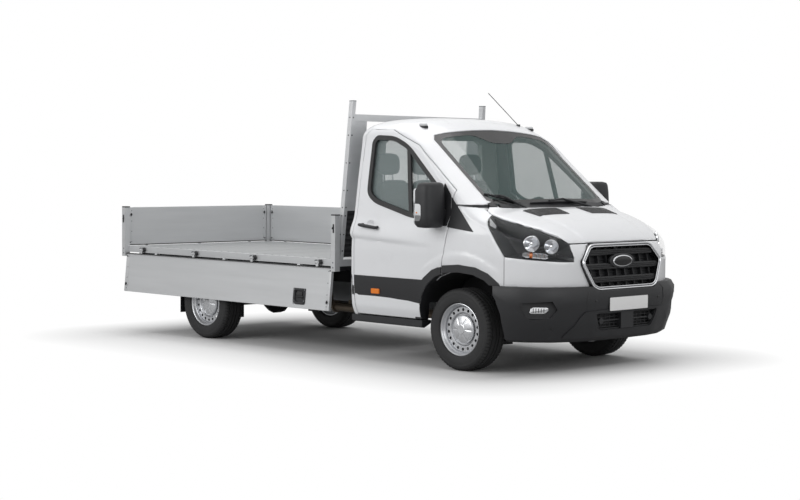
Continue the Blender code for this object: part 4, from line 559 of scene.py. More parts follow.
def nearby(surface, start, way):
    """The surface's place beside a narrow gap, brought over the gap."""
    side = way.orthogonal().normalized()
    up = way.cross(side)
    for turn in turns_of(8):
        met = surface.hit(start + (side * math.cos(turn) + up * math.sin(turn)) * GAP_REACH, way)
        if met:
            return start + way * met[2], met[1], met[2]
    return None


def inside(p, ring):
    """Whether a point is inside an outline."""
    crossings = 0
    for a, b in zip(ring, ring[1:] + ring[:1]):
        if (a.y > p.y) != (b.y > p.y) and p.x < a.x + (b.x - a.x) * (p.y - a.y) / (b.y - a.y):
            crossings += 1
    return crossings % 2 == 1


def within(p, rings):
    """Whether a point is inside the first outline and outside the others."""
    return all(inside(p, ring) == (k == 0) for k, ring in enumerate(rings))


def away(p, ring):
    """A point's distance to the nearest corner of an outline."""
    return min((p - a).length for a in ring)


# Smooth skins over the body's panels

CAB_HALF = 1.030
# Height, half width there as a share of the cab's
SIDE_PROFILE = [
    (0.40, 0.955), (0.50, 0.990), (0.72, 1.000), (0.95, 1.000), (1.15, 0.990),
    (1.30, 0.965), (1.60, 0.925), (1.90, 0.880), (2.10, 0.850),
]
# X, share of the width, height of the shoulder, height of the middle, squareness of the crown
BODY_ROWS = [
    (-1.300, 0.970, 1.930, 2.125, 2.8), (-1.270, 0.992, 1.950, 2.145, 2.8),
    (-1.180, 1.000, 1.970, 2.156, 2.8), (-0.950, 1.000, 1.975, 2.160, 2.8),
    (-0.780, 1.000, 1.940, 2.148, 2.7), (-0.660, 1.000, 1.880, 2.115, 2.5),
    (-0.560, 1.000, 1.851, 2.066, 2.3), (-0.300, 1.000, 1.634, 1.849, 2.3),
    (-0.050, 1.000, 1.426, 1.641, 2.3), (0.110, 1.000, 1.292, 1.507, 2.3),
    (0.243, 0.990, 1.235, 1.396, 2.4), (0.360, 0.975, 1.190, 1.362, 2.6), (0.520, 0.945, 1.130, 1.318, 2.6),
    (0.680, 0.880, 1.080, 1.262, 2.6), (0.800, 0.790, 1.030, 1.200, 2.6), (0.880, 0.690, 0.985, 1.140, 2.6),
    (0.930, 0.580, 0.950, 1.080, 2.6), (0.965, 0.430, 0.915, 1.010, 2.6),
]


def smooth_curve(rows):
    """A smooth curve through rows of place and value that doesn't overshoot them."""
    places, values = zip(*rows)
    steps = [b - a for a, b in zip(places, places[1:])]
    rises = [(b - a) / step for a, b, step in zip(values, values[1:], steps)]
    inner = [0.0 if a * b <= 0 else 2 * a * b / (a + b) for a, b in zip(rises, rises[1:])]
    slopes = [rises[0]] + inner + [rises[-1]]

    def value(place):
        place = min(max(place, places[0]), places[-1])
        k = max(i for i in range(len(steps)) if places[i] <= place)
        t = (place - places[k]) / steps[k]
        ends = values[k] * (1 + 2 * t) * (1 - t) ** 2 + values[k + 1] * t * t * (3 - 2 * t)
        return ends + steps[k] * t * (1 - t) * (slopes[k] * (1 - t) - slopes[k + 1] * t)

    return value


side_share = smooth_curve(SIDE_PROFILE)
width_share, shoulder_height, middle_height, squareness = (
    smooth_curve([(row[0], row[k]) for row in BODY_ROWS]) for k in (1, 2, 3, 4))


def on_body(p):
    """A point moved onto the body's smooth form, within its own cross-section."""
    side = 1 if p.y > 0 else -1
    shoulder, middle = shoulder_height(p.x), middle_height(p.x)
    edge = CAB_HALF * side_share(min(p.z, shoulder)) * width_share(p.x)
    if p.z <= shoulder:
        return Vector((p.x, side * edge, p.z))
    half = squareness(p.x) / 2
    turn = math.atan2(((p.z - shoulder) / (middle - shoulder)) ** half, (abs(p.y) / edge) ** half)
    y = edge * max(0.0, math.cos(turn)) ** (1 / half)
    return Vector((p.x, side * y, shoulder + (middle - shoulder) * math.sin(turn) ** (1 / half)))


def step_up(value, low, high):
    """From 0 below low to 1 above high, smoothly."""
    t = min(1.0, max(0.0, (value - low) / (high - low)))
    return t * t * (3 - 2 * t)


# The bulge round the front arch, outside the black flare, and how high it starts
BULGE = 0.006
FLARE_RADIUS = 0.570
BULGE_RADIUS = 0.665
BULGE_Z = (0.80, 0.90)
ARCH_FADE = 0.03
# The crease along the door: height at its rear, its fall to the front, where it fades and its top
BELT_RISE = 0.022
BELT_HEIGHT = 0.036
BELT_REAR_X = -1.28
BELT_REAR_Z = 1.085
BELT_FALL = 0.05
BELT_TOP_Z = 1.28
BELT_FADE = (0.20, 0.85)
CREASED_Y = 0.75
CREASED_Z = 1.30
# The raised middle of the bonnet: its rear, half its width there and how fast it narrows
BONNET_RISE = 0.006
BONNET_X = 0.25
BONNET_Z = 1.0
BONNET_FADE = (0.26, 0.40)
BONNET_EDGE = (-0.025, 0.012)
BONNET_HALF = 0.56
BONNET_NARROWING = 0.22


def relief(p):
    """How far the pressed creases stand over the plain form."""
    rise = 0.0
    if abs(p.y) > CREASED_Y and p.z < CREASED_Z:
        round_arch = spot(p.x - ARCH.x, p.z - ARCH.z).length
        bulged = step_up(round_arch, FLARE_RADIUS, FLARE_RADIUS + ARCH_FADE)
        bulged *= 1 - step_up(round_arch, BULGE_RADIUS - ARCH_FADE, BULGE_RADIUS)
        rise += BULGE * bulged * step_up(p.z, *BULGE_Z)
        belt = BELT_REAR_Z - BELT_FALL * (p.x - BELT_REAR_X)
        share = min(1.0, max(0.0, (p.z - belt) / BELT_HEIGHT))
        fading = step_up(-p.x, *BELT_FADE) * (1 - step_up(p.z, belt + BELT_HEIGHT, BELT_TOP_Z))
        rise += BELT_RISE * share * (2 - share) * fading
    if p.x > BONNET_X and p.z > BONNET_Z:
        edge = BONNET_HALF - BONNET_NARROWING * (p.x - BONNET_X)
        raised = 1 - step_up(abs(p.y), edge + BONNET_EDGE[0], edge + BONNET_EDGE[1])
        rise += BONNET_RISE * raised * step_up(p.x, *BONNET_FADE)
    return rise


# How near the smooth form a CAD face is, and how alike its direction, where it is part of the outside
SKIN_NEAR = 0.028
SKIN_ALIKE = 0.62
FLAT_ANGLE = 0.002
SKIN_LIFT = 0.0030
SKIN_EDGE_LIFT = 0.0004
SKIN_DEPTH = 0.002
SKIN_STEP = 0.022
DOOR_STEP = 0.013
NORMAL_STEP = 0.015
BODY_AXIS_Z = 0.9


def body_normal(p):
    """The way out of the body's smooth form beside a point."""
    outward = Vector((0.0, p.y, p.z - BODY_AXIS_Z)).normalized()
    aside = X.cross(outward) * NORMAL_STEP
    along = on_body(p + X * NORMAL_STEP) - on_body(p - X * NORMAL_STEP)
    normal = along.cross(on_body(p + aside) - on_body(p - aside)).normalized()
    return normal if normal.dot(outward) > 0 else -normal


def outer_faces(node):
    """A welded mesh of the faces of a CAD node that are part of the body's outside."""
    form = bmesh.new()
    form.from_mesh(NODES[node].data)
    bmesh.ops.translate(form, verts=form.verts, vec=-ORIGIN)
    bmesh.ops.remove_doubles(form, verts=form.verts, dist=CAD_WELD)
    form.normal_update()
    drop = []
    for face in form.faces:
        centre = face.calc_center_median()
        if (on_body(centre) - centre).length > SKIN_NEAR or face.normal.dot(body_normal(centre)) < SKIN_ALIKE:
            drop.append(face)
    bmesh.ops.delete(form, geom=drop, context="FACES")
    bmesh.ops.dissolve_limit(form, angle_limit=FLAT_ANGLE, verts=form.verts, edges=form.edges)
    return form


def gridded(form, step):
    """Cuts a mesh along the planes of a grid."""
    for axis in (X, Y, Z):
        along = [v.co.dot(axis) for v in form.verts]
        for k in range(math.ceil(min(along) / step), math.floor(max(along) / step) + 1):
            geometry = form.verts[:] + form.edges[:] + form.faces[:]
            place = axis * (k * step)
            bmesh.ops.bisect_plane(form, geom=geometry, dist=CAD_WELD, plane_co=place, plane_no=axis)
    return form


def between(form, front, back, closed=True):
    """Two sheets with a mesh's faces, joined at their edges. A shape that isn't closed has no front."""
    count = len(front)
    sheet = [[v.index for v in face.verts] for face in form.faces]
    rims = [[v.index for v in edge.verts] for edge in form.edges if edge.is_boundary]
    walls = [[a, b, b + count, a + count] for a, b in rims]
    behind = [[i + count for i in (reversed(face) if closed else face)] for face in sheet]
    return Shape().add(front + back, (sheet if closed else []) + behind + walls)


def skin(node, material, body, lift=SKIN_LIFT, creases=relief, step=SKIN_STEP):
    """A thin smooth skin with the panel's own outline, over the outside of a CAD panel."""
    form = gridded(outer_faces(node), step)
    bmesh.ops.triangulate(form, faces=[f for f in form.faces if len(f.verts) > 4])
    for vertex in form.verts:
        vertex.co = on_body(vertex.co)
    form.normal_update()
    form.verts.index_update()
    lifts = [SKIN_EDGE_LIFT if v.is_boundary else lift for v in form.verts]
    front = [v.co + v.normal * (by + creases(v.co)) for v, by in zip(form.verts, lifts)]
    back = [v.co - v.normal * SKIN_DEPTH for v in form.verts]
    piece("skin_" + node, between(form, front, back), material, body, smooth=40)
    form.free()


def body_skins():
    """Skins over the white panels and the headlamps."""
    skin("cab_shell", WHITE, "truck")
    skin("bonnet", WHITE, "bonnet")
    for _, label in SIDES:
        skin("door_" + label, WHITE, "door_" + label, step=DOOR_STEP)
        skin("wing_" + label, WHITE, "truck")
        skin("front_panel_" + label, WHITE, "truck")
        skin("headlamp_" + label, LENS, "truck", lift=0.0015, creases=lambda p: 0.0)


# Wheels

WHEEL_TURNS = 96
TREAD_BLOCKS = 3
TREAD_DEPTH = 0.007
# Share of the tyre's half width, share of the rise from bead to tread, whether a cut of the tread lowers it
TYRE_ROWS = [
    (0.80, -0.02, 0), (0.86, 0.03, 0), (0.92, 0.09, 0), (0.945, 0.10, 0), (0.955, 0.13, 0), (0.985, 0.28, 0),
    (1.0, 0.42, 0), (0.995, 0.55, 0), (0.975, 0.66, 0), (0.982, 0.68, 0), (0.975, 0.70, 0), (0.955, 0.76, 0),
    (0.92, 0.84, 0), (0.90, 0.865, 1), (0.84, 0.93, 1), (0.76, 0.972, 1), (0.70, 0.985, 1), (0.585, 0.993, 1),
    (0.575, 0.93, 0), (0.515, 0.93, 0), (0.505, 0.995, 0), (0.31, 1.0, 0), (0.185, 1.0, 0), (0.175, 0.93, 0),
    (0.115, 0.93, 0), (0.105, 1.0, 0), (0.0, 1.0, 0),
]


def tyre(node, bead, body):
    """A tyre with grooves round its tread, cut shoulders and stepped sidewalls."""
    low, high = corners_of(node)
    centre, half = (low + high) / 2, (high - low) / 2
    sections = []
    for share, up, cut in TYRE_ROWS + [(-row[0], *row[1:]) for row in reversed(TYRE_ROWS[:-1])]:
        section = []
        for k, turn in enumerate(turns_of(2 * WHEEL_TURNS)):
            lowered = TREAD_DEPTH if cut and k % TREAD_BLOCKS == 0 else 0.0
            radius = bead + (half.z - bead) * up - lowered
            place = Vector((radius * math.cos(turn), half.y * share, radius * math.sin(turn)))
            section.append(centre + place)
        sections.append(section)
    shape = Shape().loft(sections, closed=True)
    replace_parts(piece(node.replace("tyre", "treaded_tyre"), shape, RUBBER, body, smooth=30), node)


TRACK_HALF = {"front": 0.866, "rear": 0.830}
RIM_WALL = 0.012
RIM_HALF = 0.094
DISC_OUT = 0.040
DISC_THICK = 0.008
BAND_OUT = 0.014
HOLES = 18
HOLE_RING = 0.168
HOLE_RADIUS = 0.0135
HOLE_TURNS = 16
BAND_LOW, BAND_HIGH = HOLE_RING - 0.021, HOLE_RING + 0.019


def barrel(radius):
    """Rows of a rim's section: its two flanges, its bead seats and the well between them."""
    inner = radius - RIM_WALL
    well = inner - RIM_WALL
    return [
        (-RIM_HALF, radius - 0.001), (-RIM_HALF + 0.006, radius - 0.004), (RIM_HALF - 0.006, radius - 0.004),
        (RIM_HALF - 0.001, radius - 0.001), (RIM_HALF + 0.004, radius + 0.002),
        (RIM_HALF + 0.006, radius - 0.003), (RIM_HALF + 0.002, radius - 0.009),
        (RIM_HALF - 0.008, inner - 0.001), (RIM_HALF - 0.022, inner - 0.005),
        (RIM_HALF - 0.028, well), (DISC_OUT + 0.010, well), (DISC_OUT + 0.004, well - 0.002),
        (DISC_OUT - 0.010, well - 0.002), (DISC_OUT - 0.014, well), (-RIM_HALF + 0.030, well),
        (-RIM_HALF + 0.004, inner), (-RIM_HALF, inner),
    ]


def disc(shape, middle, axis, well):
    """The pressed disc: rings round the hub and a band with its round holes."""
    hub = [(-0.002, 0.060), (-0.002, 0.134), (0.010, 0.142), (BAND_OUT, BAND_LOW)]
    outer = [(BAND_OUT, BAND_HIGH), (0.011, well - 0.004), (0.004, well + 0.001)]
    for rows in (hub, outer):
        front = [(DISC_OUT + out, radius) for out, radius in rows]
        back = [(out - DISC_THICK, radius) for out, radius in reversed(front)]
        shape.lathe(middle, axis, front + back + front[:1], WHEEL_TURNS, caps=False)
    up = axis.cross(Z)
    # Radius and turn of the points round a hole, and of those on the edge of its part of the band
    hole, edge = [], []
    for turn in turns_of(HOLE_TURNS):
        across, along = math.cos(turn), math.sin(turn)
        reach = max(abs(across), abs(along))
        hole.append((HOLE_RING + HOLE_RADIUS * across, HOLE_RADIUS * along / HOLE_RING))
        half_band = (BAND_HIGH - BAND_LOW) / 2
        edge.append((BAND_LOW + half_band * (1 + across / reach), along / reach * math.pi / HOLES))
    front = DISC_OUT + BAND_OUT
    back = front - DISC_THICK
    for base in turns_of(HOLES):
        rings = []
        for out, ring in ((front, edge), (front, hole), (back, hole), (back, edge)):
            rings.append([middle + axis * out + (Z * math.cos(base + t) + up * math.sin(base + t)) * r
                          for r, t in ring])
        shape.loft(rings, caps=False)
    return shape


CAP_RADIUS = 0.124
CAP_RIBS = 6
RIB_DEPTH = 0.005
RIB_SHARPNESS = 6
# Distance out from the disc's face, share of the cap's radius
CAP_ROWS = [
    (0.010, 1.0), (0.019, 0.985), (0.024, 0.93), (0.030, 0.80), (0.037, 0.55), (0.041, 0.36),
    (0.0415, 0.30), (0.044, 0.285), (0.044, 0.15), (0.044, 0.0),
]


def wheel_cap(middle, axis):
    """The centre cap, with ribs that run out at its middle and its edge."""
    sections = []
    for out, share in CAP_ROWS:
        depth = RIB_DEPTH * step_up(share, 0.32, 0.45) * (1 - step_up(share, 0.80, 0.95))
        section = []
        for turn in turns_of(WHEEL_TURNS):
            rib = depth * max(0.0, math.cos(CAP_RIBS * turn)) ** RIB_SHARPNESS
            aside = Vector((math.cos(turn), 0, math.sin(turn))) * max(share, WELD) * CAP_RADIUS
            section.append(middle + axis * (DISC_OUT + out - rib) + aside)
        sections.append(section)
    return Shape().loft(sections)


def wheels():
    """Tyres, pressed steel rims of the CAD rims' form with round holes, and their caps."""
    for end in TRACK_HALF:
        for side, label in SIDES:
            place = end + "_" + label
            body = "wheel_" + place
            low, high = corners_of("rim_" + place)
            radius = (high.z - low.z) / 2
            middle = Vector(((low.x + high.x) / 2, side * TRACK_HALF[end], (low.z + high.z) / 2))
            rows = barrel(radius)
            shape = Shape().lathe(middle, Y * side, rows + rows[:1], WHEEL_TURNS, caps=False)
            shape = disc(shape, middle, Y * side, radius - 2 * RIM_WALL)
            tyre("tyre_" + place, radius, body)
            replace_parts(piece("wheel_disc_" + place, shape, SILVER, body, smooth=40), "rim_" + place)
            piece("wheel_cap_" + place, wheel_cap(middle, Y * side), CAP, body, smooth=50)


# Cab details

FAR_OUT = 1.6
FAR_UP = 3.0


def from_side(side):
    """What puts an outline's point, X and Z, beside the truck, and the way from there to its side."""
    return (lambda p: Vector((p.x, side * FAR_OUT, p.y))), -Y * side


class BodySide:
    """The smooth form of the body's side."""

    def hit(self, start, way):
        reach = CAB_HALF * side_share(start.z) * width_share(start.x)
        return Vector((start.x, -way.y * reach, start.z)), -way, abs(start.y) - reach


# Outlines on the truck's side, X and Z of their corners
WINDOW = [
    (-1.120, 1.480), (-1.125, 1.940), (-1.080, 1.985), (-0.860, 1.975), (-0.680, 1.900), (-0.190, 1.490),
    (-0.190, 1.300), (-0.540, 1.290), (-1.020, 1.410),
]
DIVIDER = [(-0.700, 1.925), (-0.655, 1.890), (-0.535, 1.295), (-0.580, 1.298)]
MIRROR_FOOT = [(-0.190, 1.585), (-0.1005, 1.484), (-0.0855, 1.330), (-0.1145, 1.222), (-0.262, 1.228),
               (-0.212, 1.390)]
WING_CORNER = [(-0.0955, 1.472), (0.198, 1.182), (-0.1095, 1.214), (-0.0805, 1.330)]
CLADDING_END = [(-0.195, 0.800), (-0.158, 0.812), (-0.158, 0.876), (-0.195, 0.868)]
CORNER_BAND = [(-1.297, 0.514), (-1.243, 0.514), (-1.243, 0.755), (-1.297, 0.755)]
FRAME_OVERLAP = 0.014
FRAME_WIDTH = 0.026
FRAME_DEPTH = 0.014


def side_layers(side, label):
    """Black rubber round a door's window, its divider, the mirror's foot and the ends of the black bands."""
    place, way = from_side(side)
    body, door = BodySide(), "door_" + label
    edge = fillet(inset([spot(*p) for p in WINDOW], -FRAME_OVERLAP), 0.075, 6)
    inner = fillet(inset([spot(*p) for p in WINDOW], FRAME_WIDTH), 0.055, 6)
    # Name, surface, outline, holes, height over the surface, grid, depth under it, finish, body
    rows = [
        ("window_frame_", body, edge, [inner], 0.006, 0.03, FRAME_DEPTH, SEAL, door),
        ("window_divider_", body, fillet(DIVIDER, 0.004, 2), (), 0.005, 0.04, FRAME_DEPTH, SEAL, door),
        ("mirror_foot_", body, fillet(MIRROR_FOOT, 0.008, 2), (), 0.006, 0.03, FRAME_DEPTH, BLACK, door),
        ("wing_corner_", body, fillet(WING_CORNER, 0.008, 2), (), 0.0055, 0.03, FRAME_DEPTH, BLACK, "truck"),
        ("cladding_end_", body, CLADDING_END, (), 0.0075, 0.03, 0.004, BLACK, door),
        ("corner_band_", Surface("cab_shell"), CORNER_BAND, (), 0.008, 0.03, 0.002, BLACK, "truck"),
    ]
    for name, ground, outline, holes, rise, step, depth, material, rider in rows:
        piece(name + label, drape(ground, outline, place, way, rise, holes, step, depth), material, rider)


HANDLE = ((-1.150, 1.206), (-0.921, 1.184))
HANDLE_OUT = 0.040
DISH_CENTRE = (-1.035, 1.206)
DISH_RADIUS = 0.046
# Distance out and share of the radius of the round dish behind the handle
DISH_ROWS = [(0.0005, 1.0), (0.004, 0.985), (0.0055, 0.94), (0.0045, 0.88), (0.002, 0.60), (0.0015, 0.0)]


def door_handles(side, label):
    """A black bar over a round dish."""
    place, way = from_side(side)
    door = Surface("door_" + label)
    rear, front = (door.hit(place(spot(*p)), way)[0] for p in HANDLE)
    lift = -way * (HANDLE_OUT + BELT_RISE)
    # Share of the way from the bar's rear end to its front end, share of its height over the door, radius
    rows = [
        (0.0, 0.55, 0.010), (0.06, 0.9, 0.0135), (0.15, 1.0, 0.015), (0.5, 1.0, 0.0155), (0.85, 1.0, 0.015),
        (0.94, 0.9, 0.0135), (1.0, 0.55, 0.010),
    ]
    route = [rear.lerp(front, along) + lift * high for along, high, _ in rows]
    bar = Shape().tube(route, [row[2] for row in rows], 14)
    for along in (0.08, 0.92):
        foot = rear.lerp(front, along)
        bar.tube([foot + way * 0.004, foot + lift * 0.8], [0.016, 0.011], 14)
    piece("door_handle_" + label, bar, BLACK, "door_" + label)
    centre = door.hit(place(spot(*DISH_CENTRE)), way)[0] - way * BELT_RISE * 0.4
    rows = [(-0.004, DISH_RADIUS)] + [(out, DISH_RADIUS * share) for out, share in DISH_ROWS]
    piece("handle_dish_" + label, Shape().lathe(centre, -way, rows, 48), WHITE, "door_" + label)


MARKER = (-0.954, 0.625)
CAB_SIDE = Surface("door_right", "door_left", "cab_shell", "wing_right", "wing_left", "door_cladding_right",
                   "door_cladding_left")


def side_markers(side, label):
    """The amber marker on the door's black band."""
    place, way = from_side(side)
    foot = CAB_SIDE.hit(place(spot(*MARKER)), way)[0]
    outline = fillet(rectangle(0.050, 0.022), 0.008)
    lamp = Shape().plate(outline, plane(foot, -X * side, Z), -0.004, 0.012, 0.003)
    piece("side_marker_" + label, lamp, AMBER, "door_" + label)


# Height, rear and front X, inner and outer Y of the mirror's rounded shell
MIRROR_ROWS = [
    (1.207, -0.250, -0.170, 1.040, 1.190), (1.212, -0.290, -0.140, 1.015, 1.220),
    (1.235, -0.312, -0.128, 0.995, 1.235), (1.300, -0.320, -0.122, 0.985, 1.238),
    (1.400, -0.318, -0.124, 0.985, 1.236), (1.500, -0.306, -0.130, 0.985, 1.232),
    (1.560, -0.295, -0.138, 0.990, 1.225), (1.582, -0.285, -0.146, 1.000, 1.212),
    (1.592, -0.250, -0.170, 1.030, 1.170),
]
MIRROR_SQUARENESS = 3.2
MIRROR_REAR = -0.321
MIRROR_MIDDLE = 1.1115
# Name of a pane, its height, half its width and height, radius of its corners
MIRROR_PANES = [
    ("mirror_glass_", 1.42, 0.092, 0.120, 0.03), ("mirror_lower_glass_", 1.262, 0.085, 0.026, 0.012),
]
# X and Z
INDICATOR = [
    (-0.305, 1.262), (-0.312, 1.300), (-0.310, 1.395), (-0.295, 1.414), (-0.222, 1.414), (-0.200, 1.402),
    (-0.196, 1.290), (-0.215, 1.262),
]
INDICATOR_BULB = (-0.250, 1.335)


class Hull:
    """A shape's own faces, to find where a straight line meets them."""

    def __init__(self, shape):
        self.tree = BVHTree.FromPolygons(shape.points, shape.faces)

    def hit(self, start, way):
        point, normal, _, far = self.tree.ray_cast(Vector(start), Vector(way))
        return (point, normal if normal.dot(way) < 0 else -normal, far) if point is not None else None


def mirror_shell(side):
    """The mirror's head, rounded round its plan and at its ends."""
    sections = []
    for z, rear, front, inner, outer in MIRROR_ROWS:
        ring = []
        for turn in turns_of(48):
            a, b = math.cos(turn), math.sin(turn)
            size = (abs(a) ** MIRROR_SQUARENESS + abs(b) ** MIRROR_SQUARENESS) ** (1 / MIRROR_SQUARENESS)
            x = (rear + front + a / size * (front - rear)) / 2
            ring.append(Vector((x, side * (inner + outer + b / size * (outer - inner)) / 2, z)))
        sections.append(ring)
    return Shape().loft(sections)


def mirrors(side, label):
    """A mirror's head with its two glasses, and its clear indicator lens with an amber bulb."""
    body = "door_" + label
    shell = mirror_shell(side)
    head = Hull(shell)
    piece("mirror_shell_" + label, shell, BLACK, body, smooth=60)
    for name, z, half_wide, half_high, radius in MIRROR_PANES:
        flat = plane((MIRROR_REAR, side * MIRROR_MIDDLE, z), -Y, Z)
        pane = Shape().plate(fillet(rectangle(half_wide, half_high), radius), flat, -0.018, 0.002, 0.001)
        piece(name + label, pane, CHROME, body)
    place, way = from_side(side)
    lens = fillet(INDICATOR, 0.010)
    piece("indicator_lens_" + label, drape(head, lens, place, way, 0.008), LENS, body)
    piece("indicator_back_" + label, drape(head, inset(lens, 0.004), place, way, 0.002), REFLECTOR, body)
    centre = head.hit(place(spot(*INDICATOR_BULB)), way)[0]
    bulb = Shape().lathe(centre, -way, [(0.0, 0.007), (0.006, 0.006), (0.009, 0.003), (0.0095, 0.0)], 16)
    piece("indicator_bulb_" + label, bulb, AMBER, body)


ROOF_LAMP = (-0.706, 0.704)


def roof_lamps():
    """Two clear marker lamps on black feet at the front of the roof."""
    roof = Surface("cab_shell")
    feet, lenses = Shape(), Shape()
    outline = ellipse(0.055, 0.030)
    x, y = ROOF_LAMP
    for side, _ in SIDES:
        flat = plane(roof.hit((x, side * y, FAR_UP), -Z)[0], X, Y)
        feet.plate(outline, flat, -0.012, 0.010, 0.004)
        lenses.plate(inset(outline, 0.005), flat, 0.008, 0.030, 0.016)
    piece("roof_lamp_feet", feet, BLACK)
    piece("roof_lamp_lenses", lenses, FROSTED)


SCREEN_FOOT = Vector((0.243, 0, 1.396))
SCREEN_HEAD = Vector((-0.560, 0, 2.066))
SCREEN_SLOPE = (SCREEN_HEAD - SCREEN_FOOT).normalized()
SCREEN_OUT = Vector((SCREEN_SLOPE.z, 0, -SCREEN_SLOPE.x))
SCREEN_LENGTH = (SCREEN_HEAD - SCREEN_FOOT).length
SCREEN_AWAY = 0.4
# Half of the windscreen's outline, Y and distance up the slope, and of the clear part within its black band
SCREEN_HALF = [(0.0, 0.040), (0.60, 0.045), (0.725, 0.075), (0.765, 0.130), (0.755, SCREEN_LENGTH - 0.100),
               (0.715, SCREEN_LENGTH - 0.045), (0.0, SCREEN_LENGTH - 0.020)]
CLEAR_HALF = [(0.0, 0.085), (0.58, 0.095), (0.690, 0.125), (0.722, 0.180), (0.706, SCREEN_LENGTH - 0.140),
              (0.655, SCREEN_LENGTH - 0.098), (0.300, SCREEN_LENGTH - 0.085), (0.120, SCREEN_LENGTH - 0.200),
              (0.0, SCREEN_LENGTH - 0.203)]


def over_screen(p):
    """A point, Y and distance up the slope, over the windscreen."""
    return SCREEN_FOOT + Y * p[0] + SCREEN_SLOPE * p[1] + SCREEN_OUT * SCREEN_AWAY


def both_halves(half):
    """A whole outline from its half, from the bottom middle to the top middle."""
    return half + [(-y, up) for y, up in reversed(half[1:-1])]


def screen_band():
    """The black band printed round the windscreen."""
    outer = inset(fillet(both_halves(SCREEN_HALF), 0.02), 0.002)
    inner = fillet(both_halves(CLEAR_HALF), 0.05)
    band = drape(Surface("windscreen"), outer, over_screen, -SCREEN_OUT, 0.001, [inner], 0.035, 0.0)
    piece("screen_band", band, GLOSS_BLACK, smooth=60)


# Root of a wiper's arm, its elbow, and the two ends of its blade, in Y and distance up the slope
WIPERS = [
    ("right", (-0.440, -0.030), (-0.602, 0.113), (-0.740, 0.205), (-0.454, 0.030)),
    ("left", (0.430, -0.030), (0.093, 0.047), (-0.329, 0.030), (0.440, 0.036)),
]
# Share of the way along a blade, radius of its back there
BLADE_ROWS = [(0.0, 0.004), (0.15, 0.007), (0.35, 0.009), (0.55, 0.009), (0.8, 0.007), (1.0, 0.004)]
GRIP_ROW = 2


def wipers():
    """Two wiper arms on their spindles, with a blade each on the glass."""
    ground = Surface("windscreen", "cowl", "cab_shell", "bonnet")

    def at(p, lift):
        return ground.hit(over_screen(p), -SCREEN_OUT)[0] + SCREEN_OUT * lift

    for label, root, elbow, tip, end in WIPERS:
        blade = [spot(*tip).lerp(spot(*end), along) for along, _ in BLADE_ROWS]
        grip = blade[GRIP_ROW]
        arm = Shape().tube([at(root, -0.004), at(root, 0.020)], [0.018, 0.013], 14)
        arm.tube([at(root, 0.018), at(elbow, 0.036), at(grip, 0.030)], [0.010, 0.009, 0.006], 10)
        arm.tube([at(p, 0.012) for p in blade], [row[1] for row in BLADE_ROWS], 8)
        clip = at(grip, 0.020)
        arm.block(clip - Vector((0.012, 0.03, 0.008)), clip + Vector((0.012, 0.03, 0.012)))
        arm.tube([at(p, 0.003) for p in blade], 0.0035, 6)
        piece("wiper_" + label, arm, BLACK)


# Nose details

LAMP_INSIDE = 0.110
LAMP_NARROWING = 0.22
LAMP_FACE = 0.004
LENS_DEPTH = 0.010
LAMP_AIM = Vector((0.85, 0.52, 0.06)).normalized()
# X, Y, Z of each reflector's mouth, its radius
BOWLS = [((0.690, 0.848, 1.100), 0.062), ((0.795, 0.722, 1.075), 0.056)]
BOWL_DEPTH = 0.055
# Distance out from the mouth and radius of a bulb in its holder
BULB_ROWS = [(-0.055, 0.010), (-0.020, 0.010), (-0.018, 0.014), (-0.012, 0.016), (-0.004, 0.012), (0.0, 0.0)]
# The indicator's strip: X, Y, Z of its ends, half its height, its depth
STRIP_ENDS = ((0.645, 0.900, 1.010), (0.812, 0.776, 0.995))
STRIP_HALF = 0.022
STRIP_DEPTH = 0.022


def tucked(p):
    """A point kept a depth under the body's smooth form."""
    middle = Vector((p.x, 0.0, BODY_AXIS_Z))
    reach = (on_body(p) - middle).length - LENS_DEPTH
    return middle + (p - middle).normalized() * min((p - middle).length, reach)


